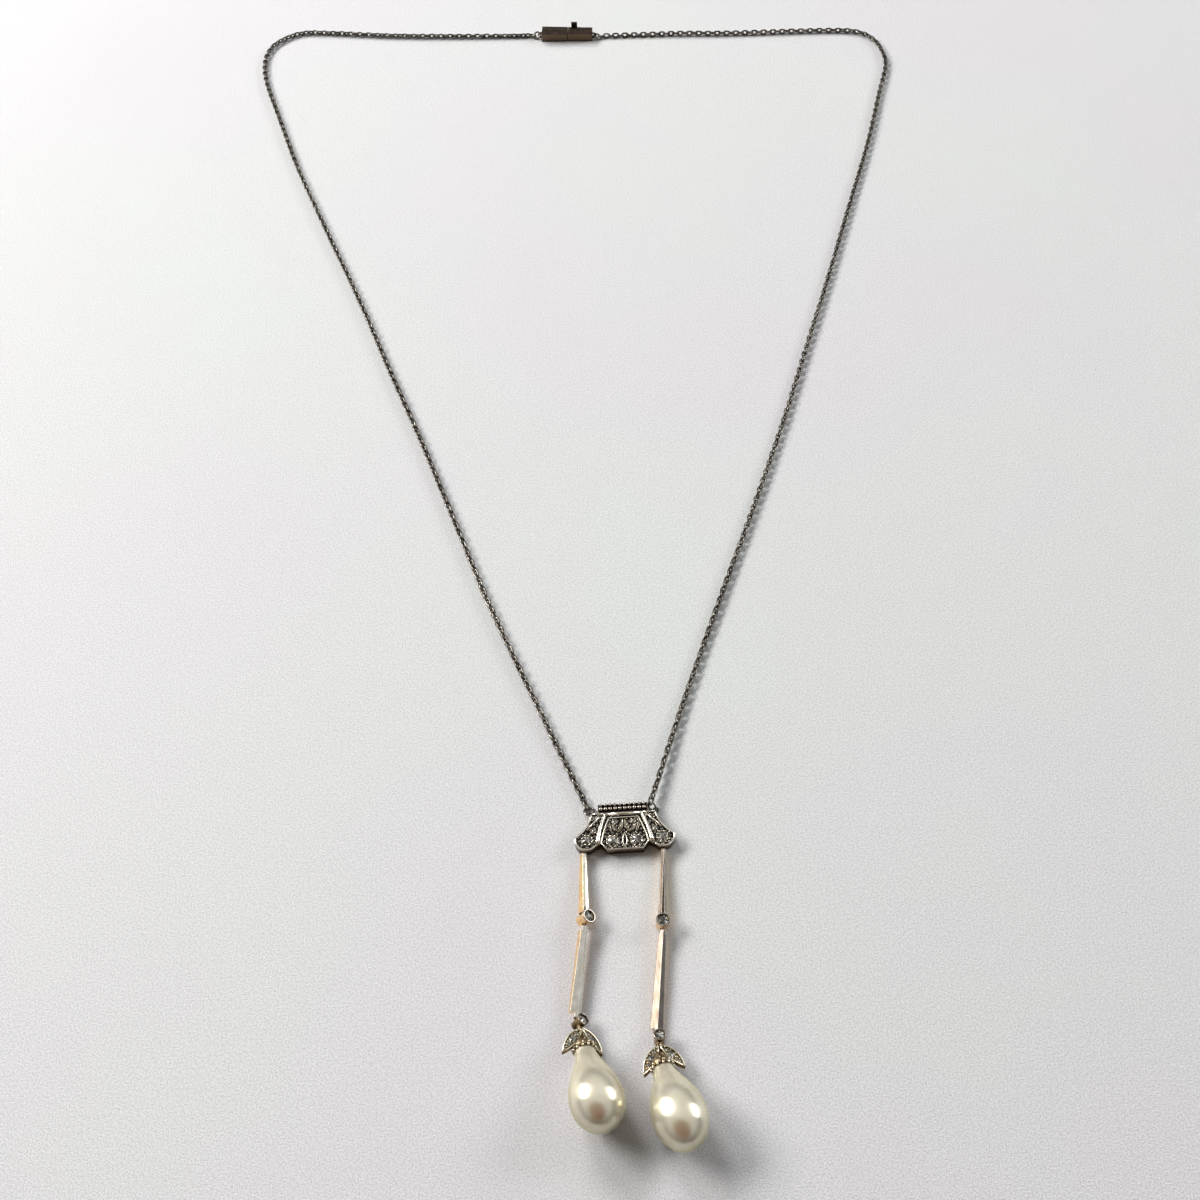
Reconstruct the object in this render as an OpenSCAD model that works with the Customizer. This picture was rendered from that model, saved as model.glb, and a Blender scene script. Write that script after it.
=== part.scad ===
// Uneven drop necklace: trace chain, box clasp, pierced plaque and two drops of unequal length.
// It lies face up on a flat surface at z = 0. The neck is at +Y and the drops point to -Y.
// Left is -X.

/* [Chain] */
// Width across the chain
chain_w = 0.95; // [0.85:0.05:1]

/* [Clasp] */
// Length of the closed clasp without its loops
clasp_l = 9.6; // [9.4:0.1:9.8]
// Width of the clasp at its left end
clasp_w_left = 2.6; // [2.5:0.05:2.7]
// Width of the clasp at its right end
clasp_w_right = 2.1; // [2:0.05:2.2]
// Height of the clasp
clasp_h = 1.5; // [1.4:0.1:1.6]
// Share of the length that the box part takes
clasp_box_share = 0.48; // [0.45:0.01:0.5]

/* [Plaque] */
// Half the width of the grain row at the plaque's top
row_half_w = 3.15; // [3:0.05:3.2]
// Distance of the wings' top corners from the middle
corner_x = 4.1; // [4:0.05:4.15]
// Radius of the lobes that end the wings
lobe_r = 1.5; // [1.46:0.01:1.54]
// Height of the plaque's top edge above the panel's lower edge
plaque_l = 6.2; // [6.1:0.05:6.3]
// Thickness of the plaque with its rims
plaque_t = 1.35; // [1.3:0.05:1.4]
// Width of the pierced slit around the centre panel
slit_w = 0.2; // [0.16:0.01:0.22]
// Number of grains in the row
row_grains = 10; // [9:1:11]

/* [Drops] */
// Length of the left drop's upper part, from its eye to the middle of its collet
upper_l_left = 9.4; // [9.2:0.1:9.6]
// Length of the right drop's upper part, from its eye to the middle of its collet
upper_l_right = 10.4; // [10.2:0.1:10.5]
// Diameter of the upper collets
upper_collet_d = 1.8; // [1.75:0.05:1.85]
// Height of the upper collets
upper_collet_h = 1.8; // [1.7:0.05:1.8]
// Diameter of the cap's collets
cap_collet_d = 1.45; // [1.4:0.05:1.5]
// Height of the cap's collets
cap_collet_h = 1.7; // [1.6:0.05:1.75]
// Length of a leaf of the cap, with its root in the stem
leaf_l = 3.8; // [3.7:0.1:3.9]
// Width of a leaf of the cap
leaf_w = 1.35; // [1.3:0.05:1.4]

/* [Pearls] */
// Diameter of a pearl
pearl_d = 6.3; // [6.2:0.05:6.4]
// Length of a pearl with the end that is hidden in its cup
pearl_l = 10.4; // [10.2:0.1:10.6]

/* [Hidden] */
SIDES = ["left", "right"];
PLAQUE_STONES = ["panel", "corner", "lobe", "wing_upper", "wing_lower"];
DROP_PIECES = ["upper_bar", "upper_stone", "lower_bar", "leaf_cap", "cap_stone", "pearl"];

GOLD = "goldenrod";
CAP_GOLD = "darkgoldenrod";
WHITE_METAL = "silver";
OXIDISED = "dimgray";
STONE = "lightsteelblue";
NACRE = "ivory";

// Clearances and curve fineness
gap = 0.1;
seat_gap = 0.03;
fine = 48;
small = 24;

// Heights of a cut stone's crown and pavilion, as shares of its diameter
crown = 0.17;
pavilion = 0.22;
facets = 10;

// Chain route, chosen by hand: it starts at the plaque's ring and ends at the clasp's ring
route_left = [
    [-4.4, -61.95], [-9.3, -48.5], [-16, -31], [-21.5, -14.5], [-26.5, 0.5], [-32, 16], [-37, 30.5],
    [-43.5, 48], [-49.5, 64.5], [-54, 79], [-57, 89], [-58, 95], [-57.5, 99.5], [-55.5, 102.5],
    [-51.5, 104.5], [-46, 104], [-33.5, 102], [-20, 100.5], [-7.6, 99.5]
];
route_right = [
    [4, -62.1], [9.5, -48], [16.5, -30.5], [22.5, -16], [29, 0.5], [34.5, 15.5], [40, 30.5],
    [46, 47.5], [51.5, 63], [55.5, 76], [58, 84], [58, 88.5], [57, 92], [54.5, 94.5],
    [50, 95.5], [42, 96], [31, 96.5], [19, 97.5], [6.5, 98.1]
];
route_steps = 2;
tube_sides = 8;
chain_z = chain_w / 2;

// Clasp place and its inner sizes
clasp_at = [-0.5, 98.78];
clasp_turn = -6;
clasp_wall = 0.25;
clasp_box_l = clasp_l * clasp_box_share;
clasp_seam = clasp_l / 2 - clasp_box_l;
tongue_l = clasp_box_l * 0.7;
spring_t = 0.28;
trigger_x = 1.3;
trigger_w = 1.1;
trigger_t = 0.3;
trigger_top = 2.2;
pad_t = 0.4;
pad_gap = 0.25;
loop_r = 0.42;
loop_wire_r = 0.14;
loop_z = 0.62;
loop_reach = 0.6;
clasp_ring_r = 0.62;
clasp_ring_wire_r = 0.15;
clasp_ring_z = [0.5, 0.385];
clasp_ring_tilt = [[30, -16, 0], [0, 22, 0]];
clasp_ring_in_loop = 0.1;

// Plaque place, and its parts seen from the front with the panel's lower edge at y = 0
plaque_at = [0.6, -68.6, 0];
corner_y = 5.04;
lobe_c = [4.8, 1.62];
tip_angle = 10;
foot_angle = -135;
wing_bow = 0.42;
panel_top = [1.92, 4.43];
panel_side = [3.04, 0.98];
panel_foot = [2.28, 0];
side_bow = 0.12;
rail_y = panel_top[1] + slit_w;
bridge_w = 0.25;
panel_lap = 0.1;
strip_y = 5.1;
strip_rim = 0.1;
relief_z = 0.98;
rim_w = 0.17;
rib_w = 0.42;
grain_r = 0.27;
setting_z = 1.16;
setting_rim = 0.11;

// Middles and diameters of the plaque's stones on its right half, in the order of PLAQUE_STONES
plaque_stone_c = [[1.5, 1.22], [1.16, 3.88], [4.72, 1.56], [3.66, 4.4], [3.86, 2.72]];
plaque_stone_d = [1.45, 0.55, 1.3, 0.56, 0.56];
wing_rib = [[2.55, 4.95], [2.9, 4.95], [4.78, 2.92], [4.62, 2.7]];
eye_at = [4.18, 5.3];
eye_z = [0.6, 0.78];
eye_turn = [10, -40];
eye_tilt = [90, 0];
eye_r = 0.3;
eye_wire_r = 0.1;
plaque_ring_r = 0.64;
plaque_ring_wire_r = 0.13;
plaque_ring_turn = [10, 42];
plaque_ring_tilt = [[-21, 0, 0], [0, -70, 0]];

// Palmette of the panel, for its right half: root, turn, length and width of each leaf
palmette = [
    [[0.6, 2.32], 15, 1.9, 0.46],
    [[0.72, 2.3], -36, 1.5, 0.42],
    [[1.62, 2.3], -9, 1.6, 0.32]
];
lance = [[0, 0.2], 2.15, 0.66];
lance_rim = 0.15;

// Hinge at the back of each lobe, where a drop hangs
hinge_x = [-5.3, 4.8];
hinge_y = 0.75;
hinge_z = 0.4;
hinge_pin_r = 0.08;
hinge_slot_w = 0.7;
hinge_slot_top = 0.78;
drop_eye_r = 0.24;
drop_wire_r = 0.09;

// How each drop's pieces lie, left then right: turn in plan, rise towards -Y, and roll about their length
upper_l = [upper_l_left, upper_l_right];
upper_turn = [-0.3, -4.8];
upper_rise = [-4.9, -3.25];
upper_roll = [36, 5];
lower_roll = [30, 10];
pearl_turn = [11.6, 14.2];
pearl_rise = 13.5;
cap_roll = [28, 7];
cap_collet_roll = [40, 7];
pearl_at = [[-4.5, -98.45], [4.55, -100.9]];

// Upper bar, measured from the collet's middle in height
ridge_slope = 38;
upper_bar_start = 0.86;
upper_bar_w = [0.62, 0.95];
upper_bar_ridge = [0.6, 0.45];
upper_bar_foot = [-0.25, -0.85];
upper_joint_z = -0.42;
neck_w = 0.22;

// Lower bar, measured from the line between its two joints
lower_bar_w = [0.8, 1.5];
lower_bar_ridge = 0.72;
lower_bar_foot = [-0.4, -0.26];
lower_bar_shift = [-0.15, 0];
joint_r = 0.3;
joint_wire_r = 0.09;
tab_t = 0.24;
tab_r = 0.36;
tab_hole_r = 0.2;
wall_gap = 0.34;
roof_under = 0.12;

// Collets: share of the diameter that the stone takes
stone_share = 0.8;

// Cap, measured along the pearl's line from the middle between its leaves' roots and its collet
cap_collet_at = [[0.3, 0.05, 0.06], [0.8, 0.15, 0]];
cap_joint_z = -0.4;
cap_joint_out = 0.29;
leaf_base = [0.42, -1.4, 0.25];
leaf_shift = 0.4;
leaf_root = 0.65;
leaf_turn = [[50, 41], [47, 41]];
leaf_dip = 2;
leaf_wrap = 15;
leaf_bend_r = 9;
leaf_t = 0.42;
leaf_rim = 0.13;
leaf_pocket = 0.1;
leaf_stone_at = [0.9, 1.75, 2.6];
leaf_stone_d = [0.48, 0.9, 0.45];
stem_r = 0.42;
stem_end = 1.9;
neck_at = 3.15;
lip_at = 3.55;
lip_wall = 0.12;
lip_grains = 12;
lip_grain_r = 0.16;
peg_r = 0.32;
peg_l = 2;

// Pearl
belly = pearl_l * 0.43;
neck_r = 1.15;
shoulder_bend = 1.28;
cap_reach = pearl_l - belly + neck_at;
pearl_edge = 0.35;
leaf_gap = 0.05;

// Turns a point of a piece's own frame into the part's frame, as lie() does
function turned(p, turn, rise, roll) =
    let (
        a = [p[0] * cos(roll) + p[2] * sin(roll), p[1], -p[0] * sin(roll) + p[2] * cos(roll)],
        b = [a[0], a[1] * cos(rise) - a[2] * sin(rise), a[1] * sin(rise) + a[2] * cos(rise)]
    )
    [b[0] * cos(turn) - b[1] * sin(turn), b[0] * sin(turn) + b[1] * cos(turn), b[2]];

module lie(at, turn, rise, roll) {
    translate(at) rotate([0, 0, turn]) rotate([rise, 0, 0]) rotate([0, roll, 0]) children();
}

function polar(r, angle) = r * [cos(angle), sin(angle)];

// Points of the arc from a to b that stands off their chord by bow, to the left of a to b
function arc_points(a, b, bow, steps) =
    let (
        chord = norm(b - a),
        u = (b - a) / chord,
        n = [-u[1], u[0]],
        r = (chord * chord / 4 + bow * bow) / (2 * bow),
        c = (a + b) / 2 + n * (bow - r),
        start = atan2(a[1] - c[1], a[0] - c[0]),
        sweep = -sign(bow) * 2 * asin(chord / 2 / abs(r))
    )
    [for (i = [0:steps]) c + polar(abs(r), start + sweep * i / steps)];

function mirrored(points) = [for (i = [len(points) - 1:-1:0]) [-points[i][0], points[i][1]]];

// Shapes that repeat
module ring(r, wire_r) {
    rotate_extrude($fn = fine) translate([r, 0]) circle(wire_r, $fn = small);
}

module upright_ring(r, wire_r) {
    rotate([0, 90, 0]) ring(r, wire_r);
}

// Leaf outline of the given length and width, along +Y from the origin
module marquise(length, width) {
    out = arc_points([0, 0], [0, length], -width / 2, 8);
    back = arc_points([0, length], [0, 0], -width / 2, 8);
    polygon(concat(out, [for (i = [1:len(back) - 2]) back[i]]));
}

// A round cut stone with a table, and its girdle at z = 0
module cut_stone(d) {
    r = d / 2 - seat_gap;
    girdle = 0.02;
    color(STONE) rotate_extrude($fn = facets) polygon([
        [0, -pavilion * d], [0.35 * r, -pavilion * d], [r, -girdle],
        [r, girdle], [0.55 * r, crown * d], [0, crown * d]
    ]);
}

// The round seat that a cut stone lies in, as a hole that is open to the top
module stone_seat(d) {
    depth = pavilion * d + seat_gap;
    translate([0, 0, -depth]) cylinder(d = d, h = depth + 2, $fn = fine);
}

// Chain
function spline(a, b, c, d, t) =
    0.5 * (2 * b + (c - a) * t + (2 * a - 5 * b + 4 * c - d) * t * t + (3 * b - a - 3 * c + d) * t * t * t);

function smooth(points) =
    let (last = len(points) - 1)
    concat(
        [for (i = [0:last - 1]) for (k = [0:route_steps - 1])
            let (before = points[max(i - 1, 0)], after = points[min(i + 2, last)])
            spline(before, points[i], points[i + 1], after, k / route_steps)],
        [points[last]]
    );

module chain_tube(points) {
    path = smooth(points);
    last = len(path) - 1;
    // The circumradius puts a flat side on the surface
    r = chain_w / 2 / cos(180 / tube_sides);
    rings = [for (i = [0:last])
        let (
            t = path[min(i + 1, last)] - path[max(i - 1, 0)],
            n = [-t[1], t[0]] / norm(t)
        )
        for (k = [0:tube_sides - 1])
            let (a = 360 * (k + 0.5) / tube_sides)
            [path[i][0] + n[0] * r * cos(a), path[i][1] + n[1] * r * cos(a), chain_z + r * sin(a)]];
    sides = [for (i = [0:last - 1]) for (k = [0:tube_sides - 1])
        let (k2 = (k + 1) % tube_sides)
        [i * tube_sides + k, (i + 1) * tube_sides + k, (i + 1) * tube_sides + k2, i * tube_sides + k2]];
    start_cap = [[for (k = [0:tube_sides - 1]) k]];
    end_cap = [[for (k = [tube_sides - 1:-1:0]) last * tube_sides + k]];
    color(OXIDISED) polyhedron(rings, concat(sides, start_cap, end_cap));
}

module chain_left() {
    chain_tube(route_left);
}

module chain_right() {
    chain_tube(route_right);
}

// Clasp, drawn with its length along X and its middle over the origin
module at_clasp() {
    translate([clasp_at[0], clasp_at[1], 0]) rotate([0, 0, clasp_turn]) children();
}

function clasp_half_w(x) = (clasp_w_left + (clasp_w_right - clasp_w_left) * (x / clasp_l + 0.5)) / 2;

// Block of the clasp's tapered outline from x0 to x1 and z0 to z1, drawn in by inset at its long sides
module clasp_block(x0, x1, z0, z1, inset) {
    w0 = clasp_half_w(x0) - inset;
    w1 = clasp_half_w(x1) - inset;
    translate([0, 0, z0]) linear_extrude(z1 - z0) polygon([[x0, -w0], [x1, -w1], [x1, w1], [x0, w0]]);
}

module clasp_loop(side) {
    translate([side * (clasp_l / 2 + loop_r * loop_reach), 0, loop_z])
        rotate([90, 0, 0]) ring(loop_r, loop_wire_r);
}

// The trigger's stem passes through the box's long side in this space when grow is the clearance
module trigger_stem(x0, grow) {
    stem_l = trigger_x + trigger_w / 2 + grow - x0;
    translate([x0, 0, clasp_h / 2 - grow])
        cube([stem_l, clasp_half_w(trigger_x) + pad_gap, trigger_t + 2 * grow]);
}

module clasp_box() {
    color(OXIDISED) at_clasp() union() {
        difference() {
            clasp_block(clasp_seam, clasp_l / 2, 0, clasp_h, 0);
            // Mouth that takes the tongue
            clasp_block(
                clasp_seam - 1, clasp_l / 2 - clasp_wall, clasp_wall, clasp_h - clasp_wall, clasp_wall
            );
            trigger_stem(clasp_seam - 1, gap);
        }
        clasp_loop(1);
    }
}

module clasp_tongue() {
    inset = clasp_wall + gap;
    x0 = clasp_seam - gap;
    x1 = x0 + tongue_l;
    low = clasp_wall + gap;
    high = clasp_h - clasp_wall - gap;
    pad_y = clasp_half_w(trigger_x) + pad_gap;
    color(OXIDISED) at_clasp() union() {
        clasp_block(-clasp_l / 2, x0, 0, clasp_h, 0);
        // Folded spring: lower leaf, fold and upper leaf
        clasp_block(x0 - gap, x1, low, low + spring_t, inset);
        clasp_block(x1 - spring_t, x1, low, high, inset);
        clasp_block(x0 + 2 * spring_t, x1, high - spring_t, high, inset);
        // Trigger, with a thumb pad that stands behind the box
        trigger_stem(trigger_x - trigger_w / 2, 0);
        translate([trigger_x - trigger_w / 2, pad_y - 0.01, clasp_h / 2])
            cube([trigger_w, pad_t, trigger_top - clasp_h / 2]);
        clasp_loop(-1);
    }
}

module clasp_ring(s) {
    near = clasp_l / 2 + loop_r * loop_reach + clasp_ring_in_loop;
    reach = near + clasp_ring_r * cos(clasp_ring_tilt[s][1]);
    color(OXIDISED) at_clasp() translate([s == 0 ? -reach : reach, 0, clasp_ring_z[s]])
        rotate(clasp_ring_tilt[s]) ring(clasp_ring_r, clasp_ring_wire_r);
}

// Plaque, drawn from the front in its own frame
module at_plaque() {
    translate(plaque_at) children();
}

// Half outline of a wing, drawn in by inset and with its inner side moved out by rib
function wing_points(inset, rib) =
    let (
        inner = panel_side + [slit_w + rib, 0],
        top = [panel_top[0] + slit_w + rib, corner_y - inset],
        corner = [corner_x - 0.84 * inset, corner_y - inset],
        tip = lobe_c + polar(lobe_r - inset, tip_angle - 20 * inset),
        edge = arc_points(corner, tip, 0.27 * inset - wing_bow, 10),
        lobe_steps = 16,
        lobe = [for (i = [1:lobe_steps])
            lobe_c + polar(lobe_r - inset, tip_angle + (foot_angle - tip_angle) * i / lobe_steps)]
    )
    concat([top], edge, lobe, arc_points(inner, top, -side_bow, 6));

function panel_edge(out) = arc_points(panel_side + [out, 0], panel_top + [out, out], -side_bow, 6);

// The wing laps over the panel, and the slit then parts them above the bridge
module wing_shape() {
    points = wing_points(0, -slit_w - panel_lap);
    polygon([for (i = [0:len(points) - 2]) points[i]]);
}

module wing_pocket() {
    points = wing_points(rim_w, rib_w);
    polygon([for (i = [0:len(points) - 2]) points[i]]);
}

module panel_shape(inset) {
    half = concat([panel_foot + [-0.4 * inset, inset]], panel_edge(-inset));
    polygon(concat(half, mirrored(half)));
}

// The slit lies around the panel's top and sides and ends at the bridges that carry the panel
module slit_shape() {
    bridge_top = panel_side[1] + bridge_w;
    half = panel_edge(slit_w);
    difference() {
        polygon(concat(half, mirrored(half)));
        panel_shape(0);
        translate([-10, -1]) square([20, 1 + bridge_top]);
    }
}

module plaque_outline() {
    for (side = [0, 1]) mirror([side, 0]) wing_shape();
    panel_shape(0);
    translate([-row_half_w, rail_y]) square([2 * row_half_w, plaque_l - rail_y]);
}

// Ground of the relief, which lies lower than the rims, ribs and rail
module plaque_ground() {
    for (side = [0, 1]) mirror([side, 0]) wing_pocket();
    panel_shape(rim_w);
    translate([-row_half_w + strip_rim, strip_y])
        square([2 * (row_half_w - strip_rim), plaque_l - strip_y - strip_rim]);
}

module plaque_stones_places() {
    for (side = [0, 1]) mirror([side, 0, 0]) for (k = [0:len(PLAQUE_STONES) - 1])
        translate([plaque_stone_c[k][0], plaque_stone_c[k][1], 0]) {
            $stone_d = plaque_stone_d[k];
            children();
        }
}

module row_of_grains() {
    pitch = 2 * (row_half_w - strip_rim - grain_r) / (row_grains - 1);
    y = (strip_y + plaque_l - strip_rim) / 2;
    for (k = [0:row_grains - 1])
        translate([(k - (row_grains - 1) / 2) * pitch, y, relief_z + 0.1]) sphere(grain_r, $fn = small);
}

// Motifs that stand on the ground of the relief
module raised_work() {
    for (side = [0, 1]) mirror([side, 0, 0]) {
        // Diagonal rib of the wing
        linear_extrude(plaque_t - 0.03) polygon(wing_rib);
        for (p = palmette)
            translate([p[0][0], p[0][1], 0]) rotate([0, 0, p[1]])
                linear_extrude(plaque_t) marquise(p[2], p[3]);
    }
    // Lance at the foot of the palmette, with a dark hollow
    translate(lance[0]) difference() {
        linear_extrude(plaque_t) marquise(lance[1], lance[2]);
        translate([0, 2 * lance_rim, relief_z])
            linear_extrude(1) marquise(lance[1] - 4 * lance_rim, lance[2] - 2 * lance_rim);
    }
    plaque_stones_places() cylinder(d = $stone_d + 2 * setting_rim, h = setting_z, $fn = fine);
    row_of_grains();
}

function hinge_slot_end() = hinge_y + drop_eye_r + drop_wire_r + gap;

module plaque() {
    color(WHITE_METAL) at_plaque() union() {
        difference() {
            union() {
                difference() {
                    linear_extrude(plaque_t) plaque_outline();
                    translate([0, 0, relief_z]) linear_extrude(1) plaque_ground();
                }
                raised_work();
            }
            translate([0, 0, -1]) linear_extrude(plaque_t + 2) slit_shape();
            plaque_stones_places() translate([0, 0, setting_z]) stone_seat($stone_d);
            // Slots at the back of the lobes for the drops' eyes
            for (x = hinge_x)
                translate([x - hinge_slot_w / 2, -1, -1])
                    cube([hinge_slot_w, 1 + hinge_slot_end(), 1 + hinge_slot_top]);
        }
        for (x = hinge_x)
            translate([x - hinge_slot_w / 2 - 0.2, hinge_y, hinge_z])
                rotate([0, 90, 0]) cylinder(r = hinge_pin_r, h = hinge_slot_w + 0.4, $fn = small);
        for (s = [0, 1])
            at_eye(s) rotate([0, 0, eye_turn[s]]) rotate([0, eye_tilt[s], 0]) ring(eye_r, eye_wire_r);
    }
}

module at_eye(s) {
    translate([s == 0 ? -eye_at[0] : eye_at[0], eye_at[1], eye_z[s]]) children();
}

// Jump rings of the plaque: the left one lies nearly flat and the right one stands up
module plaque_ring(s) {
    color(OXIDISED) at_plaque() at_eye(s) rotate([0, 0, plaque_ring_turn[s]]) rotate(plaque_ring_tilt[s])
        translate([0, plaque_ring_r, 0]) ring(plaque_ring_r, plaque_ring_wire_r);
}

module plaque_stone(k, s) {
    c = plaque_stone_c[k];
    at_plaque() translate([s == 0 ? -c[0] : c[0], c[1], setting_z]) cut_stone(plaque_stone_d[k]);
}

// Drops. Each piece of side s, 0 left and 1 right, is drawn along -Y in its own frame.
function hinge_point(s) = plaque_at + [hinge_x[s], hinge_y, hinge_z];

function upper_collet_point(s) = hinge_point(s)
    + turned([0, -upper_l[s], 0], upper_turn[s], upper_rise[s], 0);

function upper_joint_reach() = upper_collet_d / 2 + joint_r;

function upper_joint_point(s) = upper_collet_point(s)
    + turned([0, -upper_joint_reach(), upper_joint_z], upper_turn[s], upper_rise[s], upper_roll[s]);

// Radius of the pearl at distance t from its round end
function pearl_r(t) = t < belly
    ? pearl_d / 2 * sqrt(max(0, 1 - pow((belly - t) / belly, 2)))
    : neck_r + (pearl_d / 2 - neck_r) * pow(cos(90 * pow((t - belly) / (pearl_l - belly), shoulder_bend)), 2);

// Height of the belly's middle at which the leaning pearl just touches the surface
pearl_z = max([for (i = [0:100])
    let (t = pearl_l * i / 100)
    pearl_r(t) * cos(pearl_rise) + (t - belly) * sin(pearl_rise)]);

function cap_point(s) = [pearl_at[s][0], pearl_at[s][1], pearl_z]
    + turned([0, cap_reach, 0], pearl_turn[s], -pearl_rise, 0);

function cap_joint_reach() = cap_collet_d / 2 + cap_joint_out;

function cap_joint_point(s) = cap_point(s)
    + turned(cap_collet_at[s], pearl_turn[s], -pearl_rise, cap_roll[s])
    + turned([0, cap_joint_reach(), cap_joint_z], pearl_turn[s], -pearl_rise, cap_collet_roll[s]);

function lower_line(s) = cap_joint_point(s) - upper_joint_point(s);
function lower_l(s) = norm(lower_line(s));
function lower_turn(s) = atan2(lower_line(s)[0], -lower_line(s)[1]);
function lower_rise(s) = -asin(lower_line(s)[2] / lower_l(s));

module at_upper(s) {
    lie(hinge_point(s), upper_turn[s], upper_rise[s], upper_roll[s]) children();
}

module at_lower(s) {
    lie(upper_joint_point(s), lower_turn(s), lower_rise(s), lower_roll[s]) children();
}

module at_cap(s) {
    lie(cap_point(s), pearl_turn[s], -pearl_rise, cap_roll[s]) children();
}

// Middle of the cap's collet, which is twisted against its leaves
module at_cap_collet(s) {
    translate(cap_collet_at[s]) rotate([0, cap_collet_roll[s] - cap_roll[s], 0]) children();
}

// Tapered bar from y = -a to y = -b whose upper side is a ridge. The width, the ridge and the foot
// are each given at both ends.
module knife_bar(a, b, w, ridge, foot) {
    slope = tan(ridge_slope);
    big = 3;
    intersection() {
        translate([0, 0, -big]) linear_extrude(2 * big)
            polygon([[-w[0] / 2, -a], [-w[1] / 2, -b], [w[1] / 2, -b], [w[0] / 2, -a]]);
        rotate([90, 0, 90]) translate([0, 0, -big]) linear_extrude(2 * big)
            polygon([[-a, foot[0]], [-a, ridge[0]], [-b, ridge[1]], [-b, foot[1]]]);
        translate([0, 0, max(ridge)]) rotate([90, 0, 0]) translate([0, 0, a - 1]) linear_extrude(b - a + 2)
            polygon([[0, 0], [big, -big * slope], [big, -2 * big], [-big, -2 * big], [-big, -big * slope]]);
    }
}

// Collet around the origin, from z = -h / 2 to h / 2, with a seat for its stone
module collet(d, h) {
    base_r = d * 0.43;
    difference() {
        rotate_extrude($fn = fine) polygon([
            [0, -h / 2], [base_r, -h / 2], [base_r * 0.94, -h * 0.1], [d / 2 - 0.04, h / 2 - 0.45],
            [d / 2, h / 2 - 0.38], [d / 2, h / 2 - 0.06], [d / 2 - 0.06, h / 2], [0, h / 2]
        ]);
        translate([0, 0, collet_girdle(d, h)]) stone_seat(d * stone_share);
    }
}

function collet_girdle(d, h) = h / 2 - crown * d * stone_share - 0.02;

module collet_stone(d, h) {
    translate([0, 0, collet_girdle(d, h)]) cut_stone(d * stone_share);
}

module upper_bar(s) {
    bar_end = upper_l[s] - upper_collet_d / 2 + 0.12;
    color(GOLD) at_upper(s) union() {
        upright_ring(drop_eye_r, drop_wire_r);
        translate([-neck_w / 2, -upper_bar_start - gap, -0.12])
            cube([neck_w, upper_bar_start + gap - drop_eye_r, 0.26]);
        knife_bar(upper_bar_start, bar_end, upper_bar_w, upper_bar_ridge, upper_bar_foot);
        translate([0, -upper_l[s], 0]) {
            collet(upper_collet_d, upper_collet_h);
            translate([0, -upper_joint_reach() + joint_r, upper_joint_z]) ring(joint_r, joint_wire_r);
        }
    }
}

module upper_stone(s) {
    at_upper(s) translate([0, -upper_l[s], 0]) collet_stone(upper_collet_d, upper_collet_h);
}

// Flat tab in the YZ plane with a hole around the origin and its root towards -Y
module tab(root) {
    difference() {
        union() {
            rotate([0, 90, 0]) cylinder(r = tab_r, h = tab_t, center = true, $fn = fine);
            translate([-tab_t / 2, -root, -tab_r * 0.8]) cube([tab_t, root, tab_r * 1.6]);
        }
        rotate([0, 90, 0]) cylinder(r = tab_hole_r, h = 2, center = true, $fn = fine);
    }
}

module lower_bar(s) {
    length = lower_l(s);
    roof_start = upper_joint_reach() - upper_collet_d / 2 - gap;
    roof_end = length + cap_joint_reach() - cap_collet_d / 2 - gap;
    root = wall_gap + 0.1;
    clear_z = roof_under + tab_r;
    color(GOLD) at_lower(s) union() {
        difference() {
            translate([lower_bar_shift[s], 0, 0]) knife_bar(
                -roof_start, roof_end, lower_bar_w,
                [lower_bar_ridge, lower_bar_ridge], lower_bar_foot
            );
            translate([-2, -wall_gap, clear_z - 3]) cube([4, wall_gap + 2, 3]);
            translate([-2, -length - 2, clear_z - 3]) cube([4, 2 + wall_gap, 3]);
        }
        tab(root);
        translate([0, -length, 0]) mirror([0, 1, 0]) tab(root);
    }
}

// Frame of a leaf: side is -1 for the outer leaf on the left and 1 for the inner one on the right
module at_leaf(s, side) {
    x = side * leaf_base[0] + leaf_shift * cap_collet_at[s][0];
    translate([x, leaf_base[1], leaf_base[2]]) rotate([0, 0, side * leaf_turn[s][(side + 1) / 2]])
        rotate([leaf_dip, 0, 0]) rotate([0, side * leaf_wrap, 0]) translate([0, leaf_root, 0]) children();
}

// Place on the bent leaf at the given distance from its root
module on_leaf(along) {
    angle = along / leaf_bend_r * 180 / PI;
    translate([0, 0, -leaf_bend_r]) rotate([angle, 0, 0]) translate([0, 0, leaf_bend_r]) children();
}

// Cylinder across the leaf, whose top is the leaf's bent surface at height h
module bend_cylinder(h) {
    translate([0, 0, -leaf_bend_r]) rotate([0, 90, 0])
        cylinder(r = leaf_bend_r + h, h = 6, center = true, $fn = fine);
}

module leaf_outline(inset) {
    translate([0, -inset * 1.6, -2]) linear_extrude(4)
        mirror([0, 1]) marquise(leaf_l - 3.2 * inset, leaf_w - 2 * inset);
}

module leaf(s, side) {
    at_leaf(s, side) difference() {
        intersection() {
            leaf_outline(0);
            bend_cylinder(leaf_t / 2);
        }
        bend_cylinder(-leaf_t / 2);
        difference() {
            leaf_outline(leaf_rim);
            bend_cylinder(leaf_t / 2 - leaf_pocket);
        }
    }
}

function leaf_girdle() = leaf_t / 2 - leaf_pocket;

module at_leaf_stone(s, side, k) {
    at_leaf(s, side) on_leaf(leaf_stone_at[k]) translate([0, 0, leaf_girdle()]) children();
}

module leaf_stone(s, side, k) {
    at_cap(s) at_leaf_stone(s, side, k) cut_stone(leaf_stone_d[k]);
}

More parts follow.
